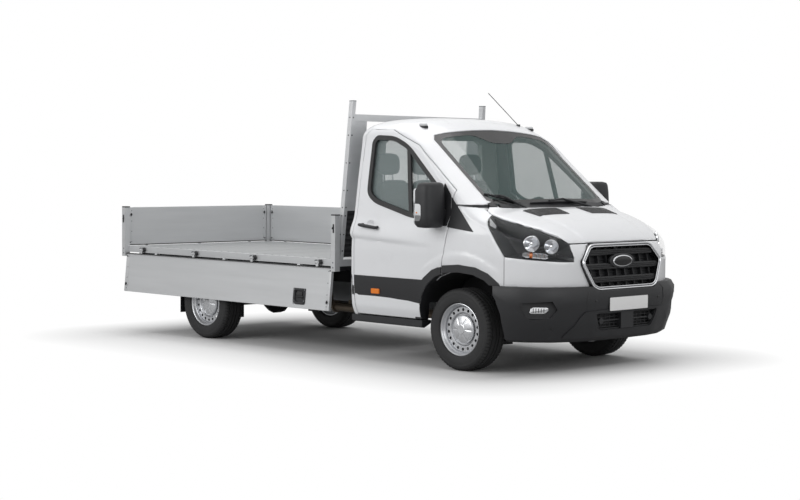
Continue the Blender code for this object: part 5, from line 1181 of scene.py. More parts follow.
def headlamps(side, label):
    """What shows through a headlamp: a dark housing, two reflectors with bulbs and the indicator's strip."""

    def here(p):
        return Vector((p[0], side * p[1], p[2]))

    form = outer_faces("headlamp_" + label)
    form.normal_update()
    form.verts.index_update()
    middle = sum((v.co for v in form.verts), Vector()) / len(form.verts)
    front = [v.co - v.normal * LAMP_FACE for v in form.verts]
    back = [v.co.lerp(middle, LAMP_NARROWING) - v.normal * LAMP_INSIDE for v in form.verts]
    piece("lamp_housing_" + label, between(form, front, back, closed=False), LAMP_DARK)
    form.free()

    aim = here(LAMP_AIM)
    bowls, bulbs, bars = Shape(), Shape(), Shape()
    for mouth, radius in BOWLS:
        shares = (0.0, 0.2, 0.4, 0.6, 0.8, 0.9, 1.0)
        rows = [(BOWL_DEPTH * (t * t - 1), radius * (0.15 + 0.85 * t)) for t in shares]
        rows += [(0.003, radius * 1.03), (0.002, radius * 1.08), (-0.004, radius * 1.08)]
        rows += [(BOWL_DEPTH * (t * t - 1) - 0.004, radius * (0.17 + 0.85 * t)) for t in (0.8, 0.4, 0.0)]
        bowls.lathe(here(mouth), aim, rows, 40)
        bulbs.lathe(here(mouth), aim, BULB_ROWS, 20)
    bowls.points = [tucked(p) for p in bowls.points]
    piece("lamp_reflectors_" + label, bowls, REFLECTOR)
    piece("lamp_bulbs_" + label, bulbs, CHROME)

    start, end = (here(p) for p in STRIP_ENDS)
    deep, sections = aim * STRIP_DEPTH, []
    for along, share in ((0.0, 0.55), (0.12, 1.0), (0.5, 1.0), (0.88, 1.0), (1.0, 0.55)):
        middle, up = start.lerp(end, along), Z * STRIP_HALF * share
        sections.append([middle - up, middle - up * 0.6 - deep, middle + up * 0.6 - deep, middle + up,
                         middle + up - deep * 1.6, middle - up - deep * 1.6])
    piece("lamp_strip_" + label, Shape().loft(sections), REFLECTOR)
    rows = [(-0.012, 0.013), (0.004, 0.014), (0.012, 0.010), (0.015, 0.0)]
    bulb = Shape().lathe(start.lerp(end, 0.33) - aim * 0.010, aim, rows, 20)
    piece("lamp_indicator_" + label, bulb, AMBER)
    up = Z * STRIP_HALF * 0.9
    for along in (0.18, 0.52, 0.68, 0.84):
        middle = start.lerp(end, along)
        bars.tube([middle - up, middle + up], 0.003, 6)
    piece("lamp_strip_bars_" + label, bars, CHROME)


# Y and Z of half of the grille's outline, from its foot
GRILLE_HALF = [(0.365, 0.712), (0.430, 0.740), (0.528, 0.925), (0.528, 0.960), (0.420, 1.080), (0.370, 1.096)]
GRILLE_FOOT_Z = 0.712
GRILLE_LEAN = 0.182
GRILLE_FACE = 1.012
# How far in from the outline, radius, of the bright ring's two round edges
RING_ROWS = [(0.007, 0.008), (0.025, 0.005)]
# Height of a bar, half its length
BAR_ROWS = [(0.797, 0.425), (0.905, 0.475), (1.020, 0.425)]
BADGE = (-0.003, 0.945)
# Name, half width and height, bottom, top and bevel of the bare badge's parts, and their finish
BADGE_ROWS = [
    ("badge_boss", 0.165, 0.066, -0.020, 0.008, 0.010, BLACK),
    ("badge_rim", 0.128, 0.050, 0.0, 0.014, 0.006, CHROME),
    ("badge_face", 0.116, 0.041, 0.0, 0.0165, 0.003, GLOSS_BLACK),
]
BOSS = (-0.046, 1.062)
SLATS = 7
SLAT_FIRST_Z = 0.748
SLAT_PITCH = 0.052


def on_grille(y, z, out=0.0):
    """A point on the plane of the grille's face, which leans back with the nose."""
    return Vector((GRILLE_FACE - GRILLE_LEAN * (z - GRILLE_FOOT_Z) + out, y, z))


def grille_details():
    """The bright ring's edges, ridges on the bars, the bare badge, the small round boss and the slats."""
    outline = fillet(GRILLE_HALF + [(-y, z) for y, z in reversed(GRILLE_HALF)], 0.055, 6)
    ring, ridges, slats = Shape(), Shape(), Shape()
    for drawn_in, radius in RING_ROWS:
        ring.tube([on_grille(*p) for p in inset(outline, drawn_in)], radius, 12, closed=True)
    piece("grille_ring", ring, CHROME)
    for z, reach in BAR_ROWS:
        for rise, share in ((0.013, 0.99), (-0.013, 0.98)):
            places = [reach * share * t for t in (-1.0, -0.6, -0.2, 0.2, 0.6, 1.0)]
            route = [on_grille(place, z + rise, -0.012) for place in places]
            ridges.tube(route, 0.0035, 8)
    piece("grille_ridges", ridges, GLOSS_BLACK)
    flat = plane(on_grille(*BADGE, -0.006), Y, Z)
    for name, half_wide, half_high, bottom, top, bevel, material in BADGE_ROWS:
        piece(name, Shape().plate(ellipse(half_wide, half_high, 48), flat, bottom, top, bevel), material)
    rows = [(-0.03, 0.024), (0.010, 0.024), (0.014, 0.021), (0.014, 0.014), (0.008, 0.012), (0.008, 0.0)]
    piece("grille_boss", Shape().lathe(on_grille(*BOSS, -0.030), X, rows, 28), GLOSS_BLACK)
    for k in range(SLATS):
        z = SLAT_FIRST_Z + SLAT_PITCH * k
        rear, front = (on_grille(0.0, z, -behind).x for behind in (0.077, 0.060))
        slats.block((rear, -0.47, z - 0.002), (front, 0.47, z + 0.002), 0.0005)
    piece("grille_slats", slats, BLACK)


BUMPER = Surface("front_bumper")
# Y and Z of half outlines, of a ridge on one side, and of the small round covers
INTAKE_HALF = [(0.345, 0.395), (0.400, 0.520)]
LIP_HALF = [(0.700, 0.325), (0.560, 0.512), (0.520, 0.545), (0.300, 0.553)]
RIDGE = [(0.46, 0.735), (0.50, 0.70), (0.515, 0.62), (0.505, 0.56)]
COVERS = [(-0.795, 0.412), (-0.42, 0.628), (0.42, 0.628)]
SLAT_ZS = (0.405, 0.432, 0.484, 0.508)
BAR_YS = (0.12, 0.18, 0.24, 0.30, 0.36)
PLATE_Z = 0.594
# The blank plate and its holder: name, X, half width and height, corner radius, bottom, top, bevel, finish
PLATE_ROWS = [
    ("plate_holder", 1.040, 0.262, 0.060, 0.006, -0.012, 0.004, 0.002, BLACK),
    ("front_plate", 1.044, 0.256, 0.055, 0.008, -0.001, 0.0015, 0.0006, PLATE),
]


def from_front(p):
    """Puts an outline's point, Y and Z, before the truck."""
    return Vector((FAR_OUT, p[0], p[1]))


def bumper_details():
    """The lip round the low intake, its slats, ridges, round covers and the blank plate."""
    lip = fillet([(y, z) for y, z in reversed(LIP_HALF)] + [(-y, z) for y, z in LIP_HALF], 0.03, 4)
    hole = fillet(INTAKE_HALF + [(-y, z) for y, z in reversed(INTAKE_HALF)], 0.02, 4)
    edge = drape(BUMPER, lip, from_front, -X, 0.009, [inset(hole, -0.012)], 0.03, 0.004)
    piece("bumper_lip", edge, BLACK, smooth=60)
    slats, ridges, covers = Shape(), Shape(), Shape()
    for z in SLAT_ZS:
        slats.tube([(0.985, y, z) for y in (-0.37, 0.0, 0.37)], 0.004, 6)
    for y in [side * y for side, _ in SIDES for y in BAR_YS]:
        slats.tube([(0.980, y, 0.398), (0.980, y, 0.516)], 0.0045, 6)
    piece("intake_slats", slats, BLACK)
    for side, _ in SIDES:
        route = [BUMPER.hit(from_front((side * y, z)), -X)[0] - X * 0.002 for y, z in RIDGE]
        ridges.tube(route, [0.004, 0.007, 0.007, 0.004], 10)
    piece("bumper_ridges", ridges, BLACK, smooth=60)
    for p in COVERS:
        point, normal, _ = BUMPER.hit(from_front(p), -X)
        covers.lathe(point, normal, [(-0.004, 0.012), (0.0015, 0.012), (0.0025, 0.010), (0.002, 0.0)], 20)
    piece("bumper_caps", covers, GLOSS_BLACK)
    for name, x, half_wide, half_high, radius, bottom, top, bevel, material in PLATE_ROWS:
        flat = plane((x, 0.0, PLATE_Z), Y, Z)
        outline = fillet(rectangle(half_wide, half_high), radius)
        piece(name, Shape().plate(outline, flat, bottom, top, bevel), material)


FOG = (0.818, 0.888, 0.560)
FOG_AIM = (0.760, 0.650)
FOG_RIBS = 5
# Distance inward along the bumper and height, of the recess's corners and of the lens's
FOG_EDGE = [
    (0.150, 0.030), (0.140, 0.074), (-0.150, 0.064), (-0.152, 0.030), (-0.108, -0.074), (0.098, -0.070),
]
FOG_LENS = [
    (0.080, -0.018), (0.062, 0.026), (-0.072, 0.024), (-0.080, 0.004), (-0.050, -0.026), (0.066, -0.026),
]


def fog_lamps(side, label):
    """The fog lamp in its six-cornered recess: a raised edge, reflectors and a clear oval lens."""
    aim = Vector((FOG_AIM[0], side * FOG_AIM[1], 0.0)).normalized()
    across = Vector((-aim.y, aim.x, 0.0))
    centre = Vector((FOG[0], side * FOG[1], FOG[2]))
    flat = plane(BUMPER.hit(centre + aim * 0.3, -aim)[0], across, Z)
    outer = fillet([(x * side, y) for x, y in FOG_EDGE], 0.020, 4)
    inner = inset(outer, 0.010)
    rows = ((outer, 0.0), (outer, 0.006), (inset(outer, 0.004), 0.008), (inner, 0.006), (inner, 0.0))
    edge = Shape().loft([[flat @ Vector((*p, height)) for p in ring] for ring, height in rows], closed=True)
    piece("fog_edge_" + label, edge, BLACK, smooth=60)
    outline = [spot(p.x * side, p.y) for p in fillet(FOG_LENS, 0.020, 5)]
    piece("fog_back_" + label, Shape().plate(outline, flat, -0.004, 0.010, 0.002), REFLECTOR)
    ribs = Shape()
    for k in range(FOG_RIBS):
        x = (0.048 - 0.022 * k) * side
        ribs.tube([flat @ Vector((x, y, 0.012)) for y in (-0.018, 0.018)], 0.003, 8)
    piece("fog_ribs_" + label, ribs, LAMP_DARK)
    piece("fog_lens_" + label, Shape().plate(inset(outline, -0.003), flat, 0.008, 0.022, 0.008), LENS)


# X and Y of a vent's corners
VENT = [(0.342, 0.135), (0.338, 0.560), (0.498, 0.525), (0.512, 0.150)]
VENT_RISE = 0.008
# Count of the bars along a vent, their radius and the shares of their length at which they have a point; then
# the same of the ribs across it
VENT_BARS = (8, 0.0028, (0.02, 0.35, 0.65, 0.98))
VENT_RIBS = (16, 0.0024, (0.03, 0.5, 0.97))


class BodyTop:
    """The smooth form of the body from above."""

    def hit(self, start, way):
        edge = CAB_HALF * side_share(shoulder_height(start.x)) * width_share(start.x)
        power = squareness(start.x)
        base, rise = shoulder_height(start.x), middle_height(start.x) - shoulder_height(start.x)
        height = base + rise * (1 - (abs(start.y) / edge) ** power) ** (1 / power)
        point = Vector((start.x, start.y, height))
        return point + Z * relief(point), Z.copy(), 0.0


def over_bonnet(p):
    return Vector((p.x, p.y, FAR_UP))


def bonnet_vents():
    """Black honeycomb grilles over the bonnet's air slots."""
    bonnet, vents = BodyTop(), Shape()
    for side, _ in SIDES:
        a, b, c, d = (spot(x, side * y) for x, y in VENT)
        sheet = drape(bonnet, fillet([a, b, c, d], 0.006, 3), over_bonnet, -Z, VENT_RISE, (), 0.03)
        vents.add(sheet.points, sheet.faces)
        for first, last, row in (((a, d), (b, c), VENT_BARS), ((a, b), (d, c), VENT_RIBS)):
            count, radius, places = row
            for k in range(1, count):
                start, end = first[0].lerp(first[1], k / count), last[0].lerp(last[1], k / count)
                met = [bonnet.hit(over_bonnet(start.lerp(end, t)), -Z)[0] for t in places]
                route = [point + Z * (VENT_RISE + 0.0005) for point in met]
                vents.tube(route, radius, 6)
    piece("bonnet_vents", vents, GLOSS_BLACK, "bonnet")


SEAM_POINTS = 14
# X and Y of a roof seam's rear and front end
SEAM = (spot(-1.27, 0.775), spot(-0.57, 0.755))


def roof_seams():
    """Fine seams pressed into the roof."""
    shell, seams = Surface("cab_shell"), Shape()
    for side, _ in SIDES:
        places = [SEAM[0].lerp(SEAM[1], k / (SEAM_POINTS - 1)) for k in range(SEAM_POINTS)]
        hits = [shell.hit((p.x, side * p.y, FAR_UP), -Z)[0] for p in places]
        seams.tube([point + Z * (SKIN_LIFT - 0.0008) for point in hits], 0.0025, 6)
    piece("roof_seams", seams, SEAL)


# Bed details

BED_REAR = -4.820
BED_FRONT = -1.524
BED_MIDDLE = (BED_REAR + BED_FRONT) / 2
BED_HALF = 1.000
RAIL_Y = 0.950
HOOK_Z = 0.840
BOARD_Y = 0.975
BOARD_FOOT = 0.876
BOARD_HEIGHT = 0.394
BOARD_THICK = 0.025
BOARD_HALF = 1.587
TAIL_HALF = 0.934
HINGE_Z = 0.8365
HANGING = math.radians(174.5)
SIDE_HINGES = (-4.517, -3.642, -2.734, -1.794)
STRIP_WIDTH = 0.045
STRIP_THICK = 0.0025
RIVET = 0.0055
# Distance inward and up of a board's foot seal and its rounded cap
SEAL_PROFILE = [(0.001, -0.003), (0.001, 0.007), (0.019, 0.006), (0.019, -0.001)]
CAP_PROFILE = [(0.0128, -0.006), (0.0128, 0.001), (0.010, 0.0035), (-0.010, 0.0035), (-0.0128, 0.001),
               (-0.0128, -0.006)]


def rivet(shape, centre, out, radius=RIVET):
    """Adds a rivet's or bolt's head to a shape."""
    rows = [(-0.001, radius), (0.0008, radius), (0.0022, radius * 0.75), (0.003, 0.0)]
    return shape.lathe(centre, out, rows, 14)


def board_frame(label):
    """A board's plane: its inner face's middle foot, along it, up it, inward off it, half its length."""
    if label == "tail":
        return Vector((BED_REAR + BOARD_THICK, 0, BOARD_FOOT)), Y, Z, X, TAIL_HALF
    if label == "left":
        return Vector((BED_MIDDLE, BOARD_Y, BOARD_FOOT)), X, Z, -Y, BOARD_HALF
    turn = Matrix.Rotation(HANGING, 4, "X")
    pivot = Vector((BED_MIDDLE, -BOARD_Y, HINGE_Z))
    foot = pivot + turn @ (Z * (BOARD_FOOT - HINGE_Z))
    return foot, X, (turn @ Z).normalized(), (turn @ Y).normalized(), BOARD_HALF


def facing(origin, along, up, out):
    """A flat frame along and up a board that faces out."""
    return plane(origin, along if along.cross(up).dot(out) > 0 else -along, up)


def board_details(label):
    """Riveted end strips inside and out, the seal at a board's foot, its rounded top and locking bolts."""
    foot, along, up, inward, reach = board_frame(label)
    body = "board_" + label
    strips, rivets, catches = Shape(), Shape(), Shape()

    def at(end, short_of, high, deep=0.0):
        return foot + along * end * (reach - short_of) + up * high + inward * deep

    for end in (-1, 1):
        for face, out in ((0.0, inward), (-BOARD_THICK, -inward)):
            flat = facing(at(end, STRIP_WIDTH / 2 + 0.001, BOARD_HEIGHT / 2, face), along, up, out)
            outline = rectangle(STRIP_WIDTH / 2, BOARD_HEIGHT / 2 - 0.002)
            strips.plate(outline, flat, -0.001, STRIP_THICK, 0.001)
            for k in range(4):
                high = 0.035 + (BOARD_HEIGHT - 0.07) * k / 3
                rivet(rivets, at(end, STRIP_WIDTH - 0.008, high, face) + out * STRIP_THICK, out)
        base = at(end, 0.030, BOARD_HEIGHT - 0.075)
        catches.tube([base + inward * 0.002, base + inward * 0.014], 0.009, 12)
        catches.tube([base + inward * 0.010 - up * 0.016, base + inward * 0.012 + up * 0.016], 0.005, 8)
        catches.tube([at(end, 0.018, 0.030, -0.002), at(end, 0.018, 0.030, 0.006)], 0.007, 10)
    seal = Shape().loft([[at(end, 0.004, b, a) for a, b in SEAL_PROFILE] for end in (-1, 1)])
    top = BOARD_HEIGHT - 0.001
    sections = [[at(end, 0.002, top + b, a - BOARD_THICK / 2) for a, b in CAP_PROFILE] for end in (-1, 1)]
    cap = Shape().loft(sections)
    piece("board_strips_" + label, strips, ALUMINIUM, body)
    piece("board_rivets_" + label, rivets, GREY_STEEL, body)
    piece("board_seal_" + label, seal, SEAL, body)
    piece("board_cap_" + label, cap, ALUMINIUM, body)
    piece("board_catches_" + label, catches, BLACK, body)


# Where a side board's pocket starts and ends along X and up Z, with the board upright
POCKET_X = (-2.090, -1.915)
POCKET_Z = (1.086, 1.238)
# X and height off the board of the pull's points, and places of the screws
PULL = [(-0.050, -0.006), (-0.044, 0.0005), (0.044, 0.0005), (0.050, -0.006)]
SCREWS = [(-0.072, -0.062), (0.072, -0.062), (-0.070, 0.040), (0.070, 0.040)]
CORNER_CUT = 0.62


def board_handle(label):
    """The black recessed pull handle in a side board's pocket."""
    foot, along, up, inward, _ = board_frame(label)
    x, z = sum(POCKET_X) / 2, sum(POCKET_Z) / 2
    flat = facing(foot + along * (x - BED_MIDDLE) + up * (z - BOARD_FOOT), along, up, inward)
    wide, high = (POCKET_X[1] - POCKET_X[0]) / 2 - 0.001, (POCKET_Z[1] - POCKET_Z[0]) / 2 - 0.001
    outer = fillet([(-wide, -high), (wide, -high), (wide, high * CORNER_CUT), (wide * CORNER_CUT, high),
                    (-wide * CORNER_CUT, high), (-wide, high * CORNER_CUT)], 0.008, 3)
    # How far in from the outer edge, height off the board
    rows = [(0.0, -0.009), (0.0, 0.003), (0.003, 0.0045), (0.018, 0.0045), (0.022, 0.002), (0.024, -0.008)]
    rim = Shape().loft([[flat @ Vector((*p, height)) for p in inset(outer, by)] for by, height in rows])
    pull = Shape().tube([flat @ Vector((x, 0.004, height)) for x, height in PULL], 0.007, 10)
    pull.block_on(flat, (-0.036, -0.044), (0.036, 0.0), -0.007, -0.001)
    screws = Shape()
    for x, y in SCREWS:
        rivet(screws, flat @ Vector((x, y, 0.0045)), inward, 0.006)
    body = "board_" + label
    piece("board_handle_frame_" + label, rim, BLACK, body)
    piece("board_handle_pull_" + label, pull, GLOSS_BLACK, body)
    piece("board_handle_screws_" + label, screws, GREY_STEEL, body)


POST = spot(0.055, 0.060)
POST_TOP = 1.272
# X of a post's middle, and of its latch beside that
POSTS = [(BED_REAR + POST.x / 2 + 0.002, -0.004), (BED_FRONT - POST.x / 2, 0.006)]


def posts():
    """Black caps, latches and bolts on the four corner posts."""
    caps, latches, bolts = Shape(), Shape(), Shape()
    for x, beside in POSTS:
        half = POST.x / 2 + 0.001
        caps.block((x - half, -BED_HALF - 0.001, POST_TOP),
                   (x + half, -BED_HALF + POST.y + 0.001, POST_TOP + 0.011), 0.003)
        flat = plane((x + beside, -BED_HALF, 1.155), X, Z)
        latches.plate(fillet(rectangle(0.008, 0.040), 0.004), flat, -0.001, 0.004, 0.001)
        latches.tube([(x, -BED_HALF - 0.002, 1.168), (x, -BED_HALF - 0.012, 1.150)], [0.007, 0.005], 10)
        for z in (0.800, 0.845):
            rivet(bolts, Vector((x, -BED_HALF, z)), -Y, 0.008)
    piece("post_caps", caps.mirrored(), BLACK)
    piece("post_latches", latches.mirrored(), BLACK)
    piece("post_bolts", bolts.mirrored(), GREY_STEEL)


KNOB_ROWS = [(-0.003, 0.012), (0.004, 0.012), (0.006, 0.021), (0.018, 0.022), (0.024, 0.017), (0.025, 0.0)]
HOOK_RADIUS = 0.018
KNOB_GRIPS = 6


def rail_hooks():
    """A lashing hook and a black knob beside each hinge on the edge rails."""
    hooks, knobs = Shape(), Shape()
    for x in SIDE_HINGES:
        base = Vector((x - 0.030, -RAIL_Y, HOOK_Z))
        turns = [math.radians(a) for a in range(60, 331, 30)]
        route = [base + Vector((HOOK_RADIUS * math.cos(a), -0.010, HOOK_RADIUS * math.sin(a))) for a in turns]
        hooks.tube([base + Y * 0.003, base - Y * 0.008], 0.006, 10)
        hooks.tube(route, 0.004, 8)
        knob = Vector((x + 0.028, -RAIL_Y, HOOK_Z))
        knobs.lathe(knob, -Y, KNOB_ROWS, 24)
        for turn in turns_of(KNOB_GRIPS):
            grip = knob + Vector((0.0215 * math.cos(turn), -0.012, 0.0215 * math.sin(turn)))
            knobs.tube([grip + Y * 0.006, grip - Y * 0.007], 0.005, 8)
    piece("rail_hooks", hooks.mirrored(), GREY_STEEL)
    piece("rail_knobs", knobs.mirrored(), BLACK)


HEAD_FOOT = Vector((-1.554, 0.912, 0.871))
HEAD_TOP = Vector((-1.445, 0.862, 2.310))
HEAD_POST_HALF = spot(0.025, 0.0205)
HEAD_BOLT_ZS = (0.95, 1.10, 1.27, 1.345, 1.50, 1.75, 2.0, 2.16)


def headboard_details():
    """Caps on the headboard's posts, and the bolts through the posts, crossbar and strips."""
    caps, bolts = Shape(), Shape()
    for side, _ in SIDES:
        foot, top = (Vector((p.x, side * p.y, p.z)) for p in (HEAD_FOOT, HEAD_TOP))
        caps.plate(rectangle(0.0255, 0.0205), plane(top, X, Y), -0.004, 0.004, 0.0015)
        for z in HEAD_BOLT_ZS:
            place = foot.lerp(top, (z - foot.z) / (top.z - foot.z))
            rivet(bolts, place - X * HEAD_POST_HALF.x, -X, 0.007)
            rivet(bolts, place + Y * side * HEAD_POST_HALF.y, Y * side, 0.006)
            rivet(bolts, place + X * HEAD_POST_HALF.x, X, 0.007)
    piece("headboard_caps", caps, GREY_STEEL)
    piece("headboard_bolts", bolts, BLACK)


FLOOR_RIB_PITCH = 0.110
# Distance along the floor and height over it
FLOOR_RIB = [
    (-0.022, -0.001), (-0.018, 0.001), (-0.006, 0.004), (0.006, 0.004), (0.018, 0.001), (0.022, -0.001),
]


def floor_ribs():
    """Low rounded ribs across the bed's floor."""
    low, high = corners_of("bed_floor")
    ribs = Shape()
    for k in range(1, int((high.x - low.x) / FLOOR_RIB_PITCH)):
        x = low.x + FLOOR_RIB_PITCH * k
        ends = (low.y + 0.01, high.y - 0.01)
        ribs.loft([[Vector((x + a, y, high.z + b)) for a, b in FLOOR_RIB] for y in ends])
    piece("floor_ribs", ribs, FLOOR_ALUMINIUM, smooth=60)


REAR_LAMP_Z = 0.5875
REAR_LAMP_HALF = 0.055
# Name of a section, its inner and outer Y, its finish
REAR_LAMP = [("brake", 0.700, 0.838, RED), ("turn", 0.630, 0.698, AMBER), ("reverse", 0.562, 0.628, LENS)]


def rear_lamps():
    """Ribbed lenses of the two rear lamps, in red, amber and clear sections."""
    rear = corners_of("rear_lamp_bar")[0].x
    for name, inner, outer, material in REAR_LAMP:
        half = (outer - inner) / 2
        flat = plane((rear, -(inner + outer) / 2, REAR_LAMP_Z), -Y, Z)
        lens = Shape().plate(fillet(rectangle(half, REAR_LAMP_HALF), 0.006), flat, -0.002, 0.012, 0.003)
        for z in (-0.040, -0.020, 0.0, 0.020, 0.040):
            lens.tube([flat @ Vector((x, z, 0.012)) for x in (0.010 - half, half - 0.010)], 0.003, 6)
        piece("rear_lens_" + name, lens.mirrored(), material)


# Inside the cab

# Node, right edge, left edge, middles of its head restraints, count of its places
SEATS = [("seat_driver", 0.130, 0.640, (0.385,), 1), ("seat_bench", -0.840, 0.020, (-0.700, -0.255), 2)]
SEAM_INSET = 0.075
CHANNEL_HALF = 0.03
CHANNEL_DEPTH = 0.06
CROWN = 0.035
CUSHION_STEPS = 26
# Rear, bottom, front and top of a place's cushion and backrest, gap to its neighbour, and its lean
PLACE_PADS = [(-1.075, 0.848, -0.565, 0.985, 0.002, math.radians(-3.5)),
              (-1.185, 0.955, -1.045, 1.600, 0.006, math.radians(-9.0))]


def cushion(shape, low, high, tilt, power=5.0, channels=()):
    """A stuffed block: superelliptic round its edges, crowned on its faces, with sewn channels along it."""
    low, high = Vector(low), Vector(high)
    half, centre = (high - low) / 2, (high + low) / 2
    turn = Matrix.Rotation(tilt, 3, "Y")
    sections = []
    for i in range(CUSHION_STEPS + 1):
        v = -math.pi / 2 + math.pi * i / CUSHION_STEPS
        ring = []
        for u in turns_of(2 * CUSHION_STEPS):
            p = Vector((math.cos(v) * math.cos(u), math.cos(v) * math.sin(u), math.sin(v)))
            p /= sum(abs(c) ** power for c in p) ** (1 / power)
            p *= 1 - CROWN * (p.length_squared - 1) / 2
            q = Vector((p.x * half.x, p.y * half.y, p.z * half.z))
            for place in channels:
                sunk = CHANNEL_DEPTH * max(0.0, 1 - abs(q.y - place) / CHANNEL_HALF) ** 2
                q.x *= 1 - sunk
                q.z *= 1 - sunk
            ring.append(centre + turn @ q)
        sections.append(ring)
    return shape.loft(sections)


def seats():
    """Stuffed cushions, backrests and head restraints over the plain CAD seats."""
    for node, right, left, heads, count in SEATS:
        each = (left - right) / count
        seams = (SEAM_INSET - each / 2, each / 2 - SEAM_INSET)
        pads, restraints, stems = Shape(), Shape(), Shape()
        for k in range(count):
            y = right + each * k
            for rear, bottom, front, top, gap, tilt in PLACE_PADS:
                cushion(pads, (rear, y + gap, bottom), (front, y + each - gap, top), tilt, channels=seams)
        for y in heads:
            low, high = (-1.200, y - 0.128, 1.645), (-1.105, y + 0.128, 1.838)
            cushion(restraints, low, high, math.radians(-4.0), 3.6)
            for stem in (y - 0.06, y + 0.06):
                stems.tube([(-1.150, stem, 1.56), (-1.155, stem, 1.68)], 0.007, 10)
        cushions = piece(node + "_pads", pads, CLOTH, smooth=60)
        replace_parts(cushions, node)
        piece(node + "_heads", restraints, CLOTH, smooth=60)
        piece(node + "_stems", stems, CHROME)
        plinth = Shape().block((-1.050, right + 0.05, 0.602), (-0.640, left - 0.05, 0.860), 0.01)
        piece(node + "_plinth", plinth, TRIM)


STEER_CENTRE = Vector((-0.430, 0.430, 1.290))
STEER_TILT = math.radians(32)
STEER_AXIS = Vector((-math.cos(STEER_TILT), 0, math.sin(STEER_TILT)))
STEER_RADIUS = 0.174
SPOKES = (0.0, math.pi, 1.5 * math.pi)
# Distance along the axis, distance from the hub and radius of a spoke
SPOKE_ROWS = [(-0.018, 0.03, 0.020), (-0.010, 0.10, 0.013), (-0.002, 0.172, 0.012)]
# Distance along the axis and radius of the hub
HUB_ROWS = [(-0.038, 0.050), (-0.020, 0.058), (-0.006, 0.060), (0.003, 0.054), (0.005, 0.030), (0.005, 0.0)]


def steering():
    """The steering wheel: a padded rim, three spokes and a plain hub pad."""
    up = STEER_AXIS.cross(Y)

    def out(turn):
        return Y * math.cos(turn) + up * math.sin(turn)

    route = [STEER_CENTRE + out(turn) * STEER_RADIUS for turn in turns_of(48)]
    wheel = Shape().tube(route, 0.0155, 12, closed=True)
    for turn in SPOKES:
        route = [STEER_CENTRE + STEER_AXIS * along + out(turn) * far for along, far, _ in SPOKE_ROWS]
        wheel.tube(route, [row[2] for row in SPOKE_ROWS], 10)
    wheel.lathe(STEER_CENTRE, STEER_AXIS, HUB_ROWS, 36)
    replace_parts(piece("steering_wheel_rim", wheel, BLACK, "steering_wheel", smooth=50), "steering_wheel")


DASH_VENT_YS = (-0.72, -0.16, 0.14, 0.74)
# X, half width, height and base of the hood over the instruments
HOOD_ROWS = [(-0.345, 0.165, 0.085, 1.240), (-0.300, 0.170, 0.095, 1.240), (-0.140, 0.150, 0.060, 1.300),
             (-0.060, 0.120, 0.0, 1.300)]
# X, Z and radius of the gear lever
LEVER_ROWS = [(-0.300, 1.060, 0.012), (-0.380, 1.120, 0.010), (-0.410, 1.160, 0.011)]
LEVER_Y = 0.04
LEVER_KNOB = [(0.0, 0.014), (0.015, 0.024), (0.035, 0.026), (0.050, 0.018), (0.054, 0.0)]


def dash_details():
    """Vents, the instrument hood, a blank screen and the gear lever."""
    vents = Shape()
    for y in DASH_VENT_YS:
        flat = plane((-0.335, y, 1.150), -Y, Z)
        vents.plate(fillet(rectangle(0.055, 0.034), 0.012), flat, -0.004, 0.006, 0.002)
        for z in (-0.018, 0.0, 0.018):
            vents.tube([flat @ Vector((x, z, 0.006)) for x in (-0.045, 0.045)], 0.0035, 6)
    piece("dash_vents", vents, BLACK)
    arc = [math.pi * k / 12 for k in range(13)]
    sections = [[Vector((x, STEER_CENTRE.y + wide * math.cos(a), base + high * math.sin(a))) for a in arc]
                for x, wide, high, base in HOOD_ROWS]
    piece("instrument_hood", Shape().loft(sections), TRIM, smooth=60)
    flat = plane((-0.325, 0.0, 1.262), -Y, Z)
    screen = Shape().plate(fillet(rectangle(0.110, 0.060), 0.010), flat, -0.02, 0.012, 0.003)
    piece("dash_screen", screen, GLOSS_BLACK)
    lever = Shape().tube([(x, LEVER_Y, z) for x, z, _ in LEVER_ROWS], [row[2] for row in LEVER_ROWS], 10)
    lever.lathe((-0.412, LEVER_Y, 1.150), (-0.3, 0, 1), LEVER_KNOB, 20)
    piece("gear_lever", lever, BLACK)


# Studio, lights and camera

EYE = ORIGIN + Vector((9.727, -11.268, 1.740))
EYE_YAW = math.radians(135.400)
EYE_PITCH = math.radians(-2.911)
EYE_ROLL = math.radians(0.420)
EYE_LENS = 75.78
SENSOR = 36.0


def put(name, data):
    """An object of some data, in the scene."""
    obj = bpy.data.objects.new(name, data)
    bpy.context.scene.collection.objects.link(obj)
    return obj


def camera():
    ahead = Vector((math.cos(EYE_PITCH) * math.cos(EYE_YAW), math.cos(EYE_PITCH) * math.sin(EYE_YAW),
                    math.sin(EYE_PITCH)))
    right = ahead.cross(Z).normalized()
    up = right.cross(ahead)
    turned = right * math.cos(EYE_ROLL) + up * math.sin(EYE_ROLL)
    raised = up * math.cos(EYE_ROLL) - right * math.sin(EYE_ROLL)
    data = bpy.data.cameras.new("camera")
    data.lens = EYE_LENS
    data.sensor_width = SENSOR
    data.clip_end = 200
    obj = put("camera", data)
    obj.matrix_world = Matrix.Translation(EYE) @ Matrix((turned, raised, -ahead)).transposed().to_4x4()
    bpy.context.scene.camera = obj


FLOOR_SIZE = 120.0
# How light the floor is in the picture near the truck, greyer than the plain white beyond it as a painted
# shade round the truck, and as what lights the truck from below
FLOOR_COLOUR = 0.72
FLOOR_BOUNCE = 0.45
# Half the box round the truck in which the floor keeps its shade, and the distances past it where that fades
SHADED_HALF = (2.25, 1.15, 0.0)
PLAIN_FROM = 0.15
PLAIN_TO = 1.25


def vector_maths(tree, operation, *values):
    return add_node(tree, "ShaderNodeVectorMath", dict(enumerate(values)), operation=operation).outputs


